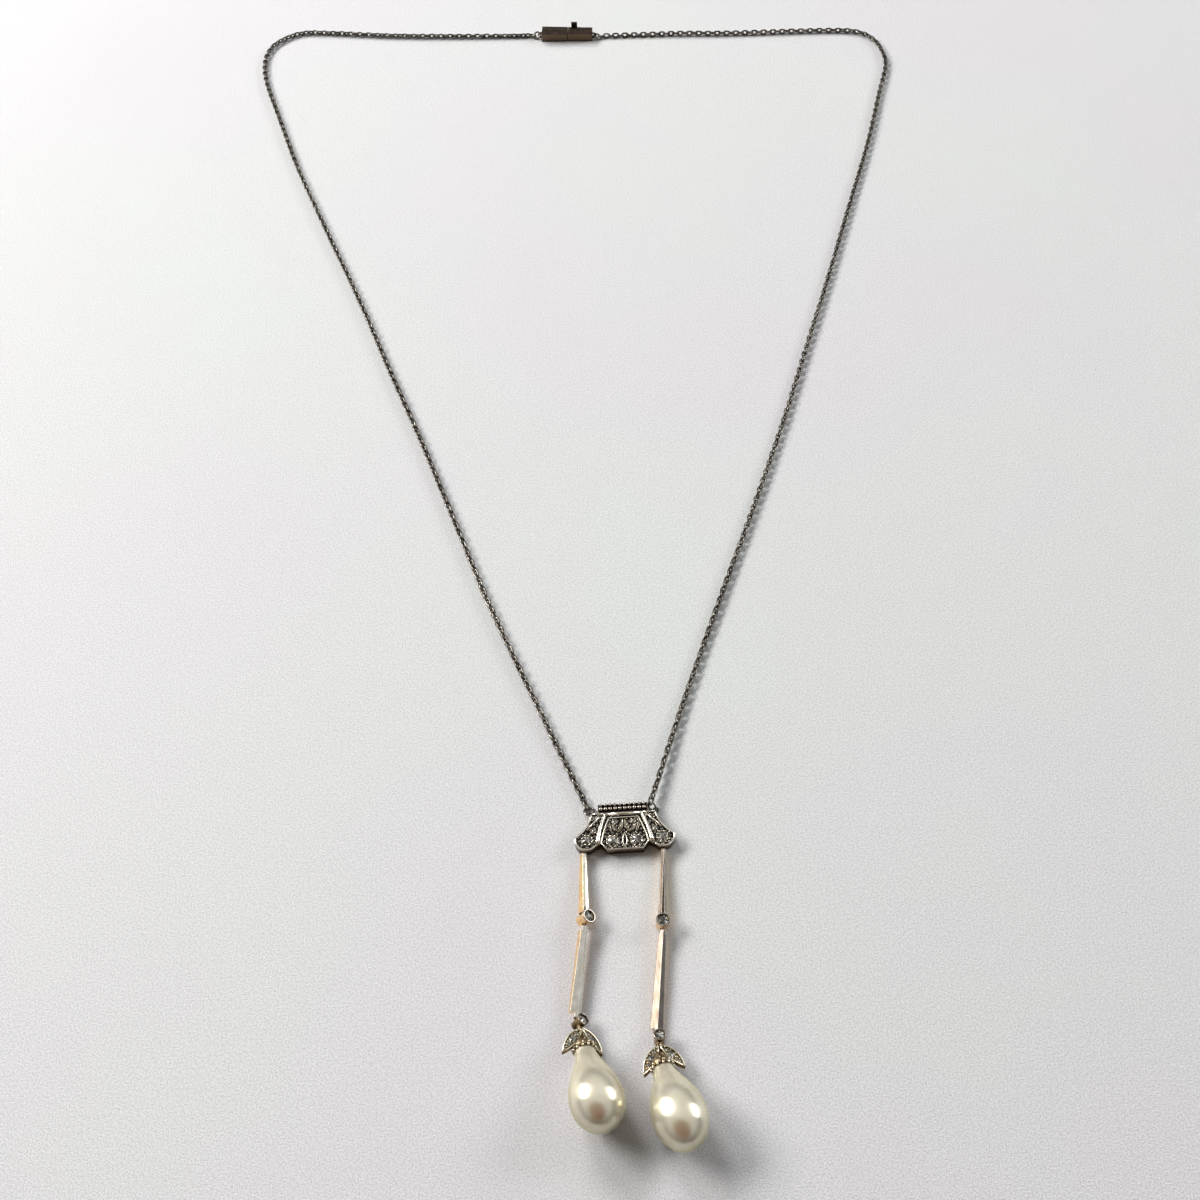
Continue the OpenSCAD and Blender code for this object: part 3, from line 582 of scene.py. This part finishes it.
def tube(path, radius, sides=8, closed=False):
    """Round wire along a path, with flat ends. radius is a number or a list with one for each point."""
    count = len(path)
    radii = radius if isinstance(radius, list) else [radius] * count
    points = []
    for i, point in enumerate(path):
        before = path[i - 1] if closed or i else path[0]
        after = path[(i + 1) % count] if closed or i < count - 1 else path[-1]
        along = (after - before).normalized()
        side = along.cross(UP).normalized()
        rise = side.cross(along)
        for k in range(sides):
            a = math.tau * k / sides
            points.append(point + radii[i] * (math.cos(a) * side + math.sin(a) * rise))
    faces = ring_faces(count, sides, closed)
    if not closed:
        faces += [tuple(range(sides)), tuple(range((count - 1) * sides, count * sides))]
    return points, faces


def ball(centre, radius, segments=8, rings=5):
    points, faces = [centre + radius * UP], []
    for i in range(1, rings):
        a = math.pi * i / rings
        for k in range(segments):
            b = math.tau * (k + 0.5 * (i % 2)) / segments
            out = Vector((math.sin(a) * math.cos(b), math.sin(a) * math.sin(b), math.cos(a)))
            points.append(centre + radius * out)
    points.append(centre - radius * UP)
    last = len(points) - 1
    for k in range(segments):
        k2 = (k + 1) % segments
        faces += [(0, 1 + k, 1 + k2), (last, last - segments + k2, last - segments + k)]
        for i in range(rings - 2):
            a, b = 1 + i * segments, 1 + (i + 1) * segments
            faces.append((a + k, b + k, b + k2, a + k2))
    return points, faces


def rose(centre, radius, turn):
    """Small rose cut stone: 12 steep facets under 6 flat ones, on a hexagonal foot."""
    def level(share, height, offset):
        corners = (turn + math.tau * (k + offset) / 6 for k in range(6))
        return [centre + radius * Vector((share * math.cos(a), share * math.sin(a), height)) for a in corners]

    points = [*level(1, -0.3, 0), *level(1, 0, 0), *level(0.6, 0.38, 0.5), centre + 0.55 * radius * UP]
    girdle, crown, tip = 6, 12, 18
    faces = [tuple(range(6))]
    for k in range(6):
        k2 = (k + 1) % 6
        faces += [(k, k2, girdle + k2, girdle + k), (girdle + k, girdle + k2, crown + k),
                  (crown + k, girdle + k2, crown + k2), (crown + k, crown + k2, tip)]
    return points, faces


def add_camera():
    data = bpy.data.cameras.new("camera")
    data.lens = LENS_MM
    data.sensor_width = SENSOR_MM
    data.clip_start = CLIP_START
    camera = add_object("camera", data)
    tilt = Matrix.Rotation(math.radians(90 - CAMERA_ELEVATION), 4, "X")
    roll = Matrix.Rotation(math.radians(CAMERA_ROLL), 4, "Z")
    camera.matrix_world = Matrix.Translation(CAMERA_AT) @ tilt @ roll
    bpy.context.scene.camera = camera


def add_floor():
    mesh = bpy.data.meshes.new("floor")
    corners = [(x * FLOOR_HALF, y * FLOOR_HALF, 0) for x, y in ((-1, -1), (1, -1), (1, 1), (-1, 1))]
    mesh.from_pydata(corners, [], [(0, 1, 2, 3)])
    mesh.materials.append(floor_white())
    add_object("floor", mesh)


def add_light(name, direction, size, power, colour, mirrored):
    """Soft light that shines on the drops."""
    data = bpy.data.lights.new(name, "AREA")
    data.shape = "ELLIPSE"
    data.size, data.size_y = size
    data.energy = power
    data.color = colour
    light = add_object(name, data)
    light.location = DROPS_AT + LIGHT_DISTANCE * Vector(direction).normalized()
    light.rotation_euler = (DROPS_AT - light.location).to_track_quat("-Z", "Y").to_euler()
    light.visible_glossy = mirrored


def add_sky():
    """Sky that is mirrored at full strength, dim as a fill light, and a plain backdrop behind the floor."""
    world = bpy.data.worlds.new("studio")
    bpy.context.scene.world = world
    world.use_nodes = True
    tree = world.node_tree
    direction = node(tree, "ShaderNodeTexCoord").outputs["Generated"]
    height = node(tree, "ShaderNodeSeparateXYZ", {"Vector": direction}).outputs["Z"]
    towards = vector_node(tree, "DOT_PRODUCT", direction, PHOTOGRAPHER_TOWARDS)
    photographer = rising(tree, towards, *PHOTOGRAPHER_EDGE)
    sky = mix(tree, photographer, ramp(tree, height, *SKY), PHOTOGRAPHER_COLOUR)
    rays = node(tree, "ShaderNodeLightPath").outputs
    set_inputs(tree, tree.nodes["Background"], {
        "Color": mix(tree, rays["Is Camera Ray"], sky, grey(BACKDROP_GREY)),
        "Strength": ramp(tree, rays["Is Diffuse Ray"], (0, grey(1)), (1, grey(FILL_STRENGTH))),
    })


def spline(a, b, c, d, t):
    """Place between b and c, at share t, on the smooth curve through four points."""
    cubic = (3 * b - a - 3 * c + d) * t ** 3
    return 0.5 * (2 * b + (c - a) * t + (2 * a - 5 * b + 4 * c - d) * t * t + cubic)


def smooth_path(points, steps):
    """Curve through all the points."""
    last = len(points) - 1
    path = []
    for i in range(last):
        around = (points[max(i - 1, 0)], points[i], points[i + 1], points[min(i + 2, last)])
        path += [spline(*around, k / steps) for k in range(steps)]
    return path + [points[last]]


def middle(name):
    low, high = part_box(name)
    return (low + high) / 2


def far_wire(name, towards):
    """Middle of the ring's wire where it lies farthest towards a point."""
    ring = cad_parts[name].data.vertices
    centre = middle(name)
    heading = (towards - centre).normalized()
    tip = max((v.co for v in ring), key=lambda p: (p - centre).dot(heading))
    return centre + (tip - centre) * (1 - RING_WIRE_R / (tip - centre).length)


def walk(path, distances):
    """(point, direction) at each distance along the path."""
    places, travelled, i = [], 0.0, 0
    for distance in distances:
        while i < len(path) - 2 and travelled + (path[i + 1] - path[i]).length < distance:
            travelled += (path[i + 1] - path[i]).length
            i += 1
        heading = (path[i + 1] - path[i]).normalized()
        places.append((path[i] + heading * (distance - travelled), heading))
    return places


def link_shape(centre, along, roll):
    """Oval link of round wire. Its plane turns by roll about its length."""
    flat = UP.cross(along).normalized()
    across = flat * math.cos(roll) + along.cross(flat) * math.sin(roll)
    normal = along.cross(across)
    wire_r = LINK_WIRE / 2
    half_l = LINK_PITCH / 2 + wire_r + LINK_PLAY
    half_w = CHAIN_W / 2 - wire_r
    points = []
    for i in range(LINK_SEGMENTS):
        a = math.tau * i / LINK_SEGMENTS
        x = math.copysign(abs(math.cos(a)) ** LINK_FULLNESS, math.cos(a)) * half_l
        y = math.copysign(abs(math.sin(a)) ** LINK_FULLNESS, math.sin(a)) * half_w
        out = (along * (x / half_l ** 2) + across * (y / half_w ** 2)).normalized()
        for k in range(LINK_WIRE_SIDES):
            b = math.tau * k / LINK_WIRE_SIDES
            ring = wire_r * (math.cos(b) * out + math.sin(b) * normal)
            points.append(centre + along * x + across * y + ring)
    return points, ring_faces(LINK_SEGMENTS, LINK_WIRE_SIDES, closed=True)


def add_chain(side, mat):
    """Interlocked links from the plaque's ring to the clasp's ring, in place of the plain tube."""
    route = [Vector((x * MM, y * MM, CHAIN_Z)) for x, y in ROUTE[side]]
    start = far_wire("plaque_ring_" + side, route[1])
    end = far_wire("clasp_ring_" + side, route[-2])
    path = smooth_path([start, *route[1:-1], end], ROUTE_STEPS)
    length = sum((b - a).length for a, b in zip(path, path[1:]))
    # A ring's wire lies against the inside of the first link's end, and of the last one's
    reach = LINK_PITCH / 2 + LINK_PLAY - RING_WIRE_R
    count = round((length - 2 * reach) / LINK_PITCH)
    pitch = (length - 2 * reach) / count
    draw = random.Random(side)
    shapes = []
    for i, (point, heading) in enumerate(walk(path, [reach + k * pitch for k in range(count + 1)])):
        lean = CHAIN_LEAN * (1 - i / count) ** CHAIN_LEAN_FADE
        twist = sum((height * math.sin(i / span) for height, span in CHAIN_WAVES), lean)
        twist += draw.uniform(-CHAIN_JITTER, CHAIN_JITTER)
        points, faces = link_shape(point, heading, math.radians(twist + 90 * (i % 2)))
        lift = max(0.0, -min(p.z for p in points)) * UP
        shapes.append(([p + lift for p in points], faces))
    made = piece("chain_links_" + side, shapes, mat)
    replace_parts(made, "chain_" + side)


def stone_frame(name):
    """Middle of the girdle, axis towards the table, and radius of a stone in the CAD."""
    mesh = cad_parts[name].data
    areas = {}
    for polygon in mesh.polygons:
        key = tuple(round(c, 2) for c in polygon.normal)
        areas[key] = areas.get(key, 0) + polygon.area
    axis = Vector(max(areas, key=areas.get)).normalized()
    points = [v.co for v in mesh.vertices]
    centre = sum(points, Vector()) / len(points)
    off_axis = [(p - centre) - axis * (p - centre).dot(axis) for p in points]
    radius = max(o.length for o in off_axis)
    # The girdle's points lie farthest from the axis
    girdle = [p for p, o in zip(points, off_axis) if o.length > 0.98 * radius]
    return sum(girdle, Vector()) / len(girdle), axis, radius


def brilliant(centre, axis, radius, turn):
    """Old cut stone: a table, 8 star, 8 kite and 16 girdle facets over 24 lower ones, 8 mains and a culet."""
    side = axis.orthogonal().normalized()
    spin = Matrix((side, axis.cross(side), axis)).transposed()
    points = []
    for count, share, height, offset in STONE_LEVELS:
        for i in range(count):
            a = turn + math.tau * (i + offset) / count
            local = Vector((share * math.cos(a), share * math.sin(a), height)) * radius
            points.append(centre + spin @ local)
    # First points of the table, kites, upper and lower girdle, waist and culet
    t, k, u, b, w, c = 0, 8, 16, 32, 48, 56
    faces = [tuple(range(8)), tuple(reversed(range(c, c + 8)))]
    for i in range(8):
        j = (i + 1) % 8
        low, mid, high = 2 * i, 2 * i + 1, (2 * i + 2) % 16
        faces += [(t + i, k + i, t + j), (t + i, u + low, k + i), (t + j, k + i, u + high)]
        faces += [(u + low, u + mid, k + i), (u + mid, u + high, k + i)]
        faces += [(b + low, w + i, b + mid), (b + mid, w + i, w + j), (b + mid, w + j, b + high)]
        faces += [(w + i, c + i, c + j, w + j)]
    for i in range(16):
        j = (i + 1) % 16
        faces.append((u + i, b + i, b + j, u + j))
    return points, faces


def bezel(centre, axis, radius):
    """Thin rolled edge of a collet around its stone."""
    side = axis.orthogonal().normalized()
    other = axis.cross(side)
    path = []
    for k in range(BEZEL_STEPS):
        a = math.tau * k / BEZEL_STEPS
        out = side * math.cos(a) + other * math.sin(a)
        path.append(centre + axis * BEZEL_RISE + out * (radius + BEZEL_OUT))
    return tube(path, BEZEL_WIRE_R, closed=True)


def add_stones(mat, metal, dark_metal):
    """Cut stones in place of the plain ones, and the edges of the drops' collets."""
    draw = random.Random(STONE_SEED)
    bezels, dark = [], []
    for name in sorted(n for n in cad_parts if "stone" in n):
        centre, axis, radius = stone_frame(name)
        if name.startswith(("upper_stone", "cap_stone")):
            radius *= COLLET_STONE_SCALE
            # The bezel of a rim painted dark is drawn in the dark metal, as painted shade
            (dark if name in RIMS_PAINTED_DARK.values() else bezels).append(bezel(centre, axis, radius))
        shape = brilliant(centre, axis, radius, draw.uniform(0, math.tau))
        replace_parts(piece(name + "_cut", [shape], mat, smooth=False), name)
    piece("collet_edges", bezels, metal)
    piece("collet_edge_painted_dark", dark, dark_metal)


def arc(a, b, bow, steps):
    """Points from a to b whose middle stands off their chord by bow, to the left."""
    chord = b - a
    left = Vector((-chord.y, chord.x)).normalized()
    return [a.lerp(b, k / steps) + left * bow * 4 * (k / steps) * (1 - k / steps) for k in range(steps + 1)]


def polar(r, degrees):
    return r * Vector((math.cos(math.radians(degrees)), math.sin(math.radians(degrees))))


def on_plaque(points, height, side=1):
    """Points of the plaque's right half in the part's frame, mirrored for side -1."""
    return [(PLAQUE_AT + Vector((side * p[0], p[1], height))) * MM for p in points]


def wing_border(inset):
    """Outer edge of a wing from its corner round its lobe, moved inwards as in the part's source."""
    corner = Vector((CORNER[0] - INSET_CORNER * inset, CORNER[1] - inset))
    start, end = LOBE_ANGLES
    tip = LOBE_AT + polar(LOBE_R - inset, start - INSET_TURN * inset)
    angles = (start + (end - start) * k / LOBE_STEPS for k in range(1, LOBE_STEPS + 1))
    lobe = [LOBE_AT + polar(LOBE_R - inset, angle) for angle in angles]
    return arc(corner, tip, INSET_BOW * inset + WING_BOW, WING_STEPS) + lobe


def panel_edge(out):
    """Side of the panel up to its top corner, moved outwards."""
    return arc(PANEL_SIDE + Vector((out, 0)), PANEL_TOP + Vector((out, out)), PANEL_BOW, PANEL_STEPS)


def marquise_outline(root, turn, length, width, steps=8):
    """Outline of a pointed leaf from its root, in the plaque's plane."""
    spin = Matrix.Rotation(math.radians(turn), 2)
    start, end = Vector((0, 0)), Vector((0, length))
    outline = arc(start, end, width / 2, steps) + arc(end, start, width / 2, steps)[1:-1]
    return [Vector(root) + spin @ p for p in outline]


def ridged_leaf(outline, side):
    """Leaf with a sharp ridge between its two points, on top of the plaque's leaf."""
    half = len(outline) // 2
    ridge = [(outline[k] + outline[-k % len(outline)]) / 2 for k in range(1, half)]
    foot = on_plaque(outline, PALMETTE_Z[0], side)
    top = on_plaque(ridge, PALMETTE_Z[1], side)
    count = len(foot)
    faces = [tuple(range(count))]
    for k in range(half):
        a = count + max(k - 1, 0)
        b = count + min(k, half - 2)
        other, other_next = -k % count, (-k - 1) % count
        faces.append((k, k + 1, b, a) if a != b else (k, k + 1, a))
        faces.append((other_next, other, a, b) if a != b else (other_next, other, a))
    return foot + top, faces


def plaque_row():
    """Row of grains above the rail, and their prongs."""
    shapes = []
    for k in range(ROW_GRAINS):
        x = (k - (ROW_GRAINS - 1) / 2) * ROW_PITCH + ROW_SHIFT
        for y, z, radius in (ROW_GRAIN, ROW_PRONG):
            shapes.append(ball(on_plaque([(x, y)], z)[0], radius * MM, 12, 8))
    return shapes


def front_wire(path, sink, radius, side=1, sides=8, closed=False):
    """Wire on the plaque's front, sunk into it. Its radius is in millimetres, and as for tube."""
    radius = [r * MM for r in radius] if isinstance(radius, list) else radius * MM
    return tube(on_plaque(path, PLAQUE_T - sink, side), radius, sides, closed)


def wing_wires(side):
    """Wires of one wing: its border, the ribs beside the panel and between its stones, and its top edge."""
    rib_x = SLIT_W + RIB_W / 2
    rib = arc(PANEL_SIDE + Vector((rib_x, -0.05)), PANEL_TOP + Vector((rib_x, 0.5)), PANEL_BOW, PANEL_STEPS)
    # The rib tapers towards its top
    rib_radii = [0.3 - 0.012 * k for k in range(len(rib))]
    top_y = CORNER[1] - 0.1
    top_edge = [Vector((TOP_EDGE_X, top_y)), Vector((CORNER[0] - 0.1, top_y))]
    return [
        front_wire(wing_border(RIM_W / 2), sink=0.03, radius=0.12, side=side),
        front_wire(rib, sink=0.06, radius=rib_radii, side=side, sides=12),
        front_wire([Vector(p) for p in WING_RIB], sink=0.05, radius=0.12, side=side),
        front_wire(top_edge, sink=0.02, radius=0.09, side=side),
    ]


def panel_wires():
    """Wires of the panel: the rail above it, its border and the inner edge of its lance."""
    rail_y = (PANEL_TOP[1] + SLIT_W + STRIP_Y) / 2
    half = [Vector((PANEL_FOOT.x - 0.035, RIM_W / 2))] + panel_edge(-RIM_W / 2)
    border = half + [Vector((-p.x, p.y)) for p in reversed(half)]
    middle_y = LANCE[0][1] + LANCE[2] / 2
    share_x, share_y = LANCE_INNER
    lance = [Vector((p.x * share_x, middle_y + (p.y - middle_y) * share_y)) for p in marquise_outline(*LANCE)]
    return [
        front_wire([(-RAIL_HALF_W, rail_y), (RAIL_HALF_W, rail_y)], sink=0.05, radius=0.19, sides=10),
        front_wire(border, sink=0.02, radius=0.085, closed=True),
        front_wire(lance, sink=0.01, radius=0.07, sides=6, closed=True),
    ]


def setting_grains(side):
    """Grains around the stones of one half."""
    shapes = []
    for at, diameter in PLAQUE_STONES:
        count, radius = SETTING_GRAINS[diameter < LARGE_STONE_D]
        for k in range(count):
            spot = Vector(at) + polar(diameter / 2 + 0.02, 360 * (k + 0.5) / count)
            shapes.append(ball(on_plaque([spot], SETTING_Z + 0.04, side)[0], radius * MM))
    return shapes


def ground_share(relief, x, y, reach):
    """Share of the places around (x, y) where the plaque's ground lies open."""
    around = [Vector((0, 0))] + [polar(reach, 45 * k) for k in range(1, 9)]
    count = 0
    for offset in around:
        hit = relief.ray_cast(on_plaque([Vector((x, y)) + offset], OVER_PLAQUE)[0], -UP)[0]
        count += hit is not None and abs(hit.z / MM - GROUND_Z) < GROUND_TOLERANCE
    return count / len(around)


def ground_fill():
    """Chips and grains that fill the open ground of the plaque."""
    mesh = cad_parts["plaque"].data
    relief = BVHTree.FromPolygons([v.co for v in mesh.vertices], [p.vertices for p in mesh.polygons])
    draw = random.Random(GROUND_SEED)
    taken, chips, grains = [], [], []
    for reach, spacing, tries, share in GROUND_FILL:
        for _ in range(tries):
            x, y = draw.uniform(-FILL_X, FILL_X), draw.uniform(0, STRIP_Y - 0.1)
            if any((x - tx) ** 2 + (y - ty) ** 2 < ((spacing + t_gap) / 2) ** 2 for tx, ty, t_gap in taken):
                continue
            if ground_share(relief, x, y, reach) < share:
                continue
            taken.append((x, y, spacing))
            turn = draw.uniform(0, math.tau)
            size = reach * draw.uniform(*FILL_SIZES) * MM
            if spacing > CHIP_SPACING:
                chips.append(rose(on_plaque([(x, y)], CHIP_Z)[0], size, turn))
            else:
                grains.append(ball(on_plaque([(x, y)], FILL_GRAIN_Z)[0], size))
    return chips, grains


def add_plaque_work(metal, row_metal, stone):
    """Polished wires, leaves, grains and small stones on the plaque's front."""
    chips, small_grains = ground_fill()
    halves = (-1, 1)
    leaves = [ridged_leaf(marquise_outline(*leaf), side) for side in halves for leaf in PALMETTE]
    grains = [grain for side in halves for grain in setting_grains(side)]
    piece("plaque_wires", wing_wires(-1) + wing_wires(1) + panel_wires(), metal)
    piece("plaque_leaves", leaves, metal, smooth=False)
    piece("plaque_grains", grains + small_grains, metal)
    piece("plaque_row", plaque_row(), row_metal)
    piece("plaque_chips", chips, stone, smooth=False)


def lie(at, turn, rise, roll):
    """Frame of a piece that lies along -Y, as in the part's source."""
    spin = Matrix.Identity(4)
    for degrees, axis in ((turn, "Z"), (rise, "X"), (roll, "Y")):
        spin = spin @ Matrix.Rotation(math.radians(degrees), 4, axis)
    return Matrix.Translation(at) @ spin


def pearl_r(t, belly=BELLY, bend=SHOULDER_BEND):
    """Radius of a pearl at distance t from its round end."""
    if t < belly:
        return PEARL_D / 2 * math.sqrt(max(0.0, 1 - ((belly - t) / belly) ** 2))
    share = ((t - belly) / (PEARL_L - belly)) ** bend
    return NECK_R + (PEARL_D / 2 - NECK_R) * math.cos(math.pi / 2 * share) ** 2


def cap_frame(index):
    """Frame of a leaf cap in millimetres. Its pearl rests on the surface, as in the part's source."""
    rise = math.radians(PEARL_RISE)
    steps = 100
    places = (PEARL_L * k / steps for k in range(steps + 1))
    height = max(pearl_r(t) * math.cos(rise) + (t - BELLY) * math.sin(rise) for t in places)
    at = Vector((*PEARL_AT[index], height))
    along = lie((0, 0, 0), PEARL_TURN[index], -PEARL_RISE, 0) @ Vector((0, PEARL_L - BELLY + NECK_AT, 0))
    return lie(at + along, PEARL_TURN[index], -PEARL_RISE, CAP_ROLL[index])


def add_pearl(index, mat):
    """Smooth turned pearl in place of the faceted one."""
    cap = cap_frame(index)
    points = []
    for i in range(1, PEARL_ROWS + 1):
        t = PEARL_L * (1 - math.cos(math.pi * i / PEARL_ROWS)) / 2
        radius = pearl_r(t, *PEARL_FORMS[index]) if i < PEARL_ROWS else BORE_R
        for k in range(PEARL_SEGMENTS):
            a = math.tau * k / PEARL_SEGMENTS
            local = Vector((radius * math.cos(a), t - PEARL_L - NECK_AT, radius * math.sin(a)))
            points.append((cap @ local) * MM)
    faces = ring_faces(PEARL_ROWS, PEARL_SEGMENTS)
    tip = len(points)
    points.append((cap @ Vector((0, -PEARL_L - NECK_AT, 0))) * MM)
    faces += [(tip, k, (k + 1) % PEARL_SEGMENTS) for k in range(PEARL_SEGMENTS)]
    faces.append(tuple(range(tip - PEARL_SEGMENTS, tip)))
    name = "pearl_" + SIDES[index]
    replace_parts(piece(name + "_body", [(points, faces)], mat), name)


def leaf_frame(index, column):
    """Frame of a leaf from its root, in millimetres."""
    side = (-1, 1)[column]
    base = Vector((side * LEAF_BASE[0] + LEAF_SHIFT * CAP_COLLET_X[index], *LEAF_BASE[1:]))
    leaf = cap_frame(index) @ Matrix.Translation(base)
    turns = ((side * LEAF_TURN[index][column], "Z"), (LEAF_DIP, "X"), (side * LEAF_WRAP, "Y"))
    for degrees, axis in turns:
        leaf = leaf @ Matrix.Rotation(math.radians(degrees), 4, axis)
    return leaf @ Matrix.Translation((0, LEAF_ROOT, 0))


def on_leaf(leaf, x, along, height):
    """Place over a leaf, which bends along its length."""
    bend = along / LEAF_BEND_R
    reach = LEAF_BEND_R + height
    return (leaf @ Vector((x, -math.sin(bend) * reach, math.cos(bend) * reach - LEAF_BEND_R))) * MM


def add_leaf_work(index, metal):
    """Bright edges and grains on a cap's leaves, and grains on its cup."""
    cap = cap_frame(index)
    top = LEAF_T / 2
    wires, grains = [], []
    for column in (0, 1):
        leaf = leaf_frame(index, column)
        outline = marquise_outline((0, 0), 0, LEAF_EDGE_L, LEAF_EDGE_W, 12)
        edge = [on_leaf(leaf, p.x, p.y + LEAF_EDGE_AT, top) for p in outline]
        wires.append(tube(edge, LEAF_EDGE_R * MM, closed=True))
        for along, diameter in LEAF_STONES:
            for k in range(4):
                spot = polar(diameter / 2 + 0.05, 45 + 90 * k)
                place = on_leaf(leaf, spot.x, along + spot.y, top - 0.03)
                grains.append(ball(place, SEAT_GRAIN_R * MM))
        for along in LEAF_GRAINS:
            grains.append(ball(on_leaf(leaf, 0, along, top - 0.04), LEAF_GRAIN_R * MM))
    lip_r = pearl_r(PEARL_L - (LIP_AT - NECK_AT)) + 0.13
    for row_r, at, count, radius in ((lip_r, LIP_AT - 0.02, *LIP_GRAINS), *CUP_GRAINS):
        for k in range(count):
            # Rows of an odd number start half a step on
            spot = polar(row_r, 360 * (k + 0.5 * (count % 2)) / count)
            grains.append(ball((cap @ Vector((spot.x, -at, spot.y))) * MM, radius * MM))
    piece("leaf_edges_" + SIDES[index], wires, metal)
    piece("leaf_grains_" + SIDES[index], grains, metal)


def dress_cad_nodes():
    """Materials of the CAD nodes that stay."""
    clasp, ring, cap = (old_metal(name) for name in ("clasp_metal", "ring_metal", "cap_gold"))
    dress = {"plaque": plaque_silver(), "clasp_box": clasp, "clasp_tongue": clasp}
    for side in SIDES:
        dress["plaque_ring_" + side] = dress["clasp_ring_" + side] = ring
        dress["leaf_cap_" + side] = cap
    for name in BAR_ROLL:
        dress[name] = bar_metal(name)
    for name, mat in dress.items():
        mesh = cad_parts[name].data
        mesh.materials.clear()
        mesh.materials.append(mat)


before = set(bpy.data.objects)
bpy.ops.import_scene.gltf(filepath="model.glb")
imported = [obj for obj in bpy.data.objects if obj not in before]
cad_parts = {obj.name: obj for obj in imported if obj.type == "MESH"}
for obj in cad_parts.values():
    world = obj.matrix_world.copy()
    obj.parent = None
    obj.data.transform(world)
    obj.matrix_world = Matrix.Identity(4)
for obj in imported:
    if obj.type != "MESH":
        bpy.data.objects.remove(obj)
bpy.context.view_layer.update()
bpy.context.scene.view_settings.view_transform = "Standard"
add_camera()
add_floor()
for light_row in LIGHTS:
    add_light(*light_row)
add_sky()
dress_cad_nodes()
chain_mat, row_mat, gold_mat = (old_metal(name) for name in ("chain_metal", "row_silver", "bright_gold"))
stone_mat, nacre_mat = stone_glass(), nacre()
for chain_side in SIDES:
    add_chain(chain_side, chain_mat)
add_stones(stone_mat, row_mat, chain_mat)
add_plaque_work(old_metal("bright_silver"), row_mat, stone_mat)
for drop in (0, 1):
    add_pearl(drop, nacre_mat)
    add_leaf_work(drop, gold_mat)
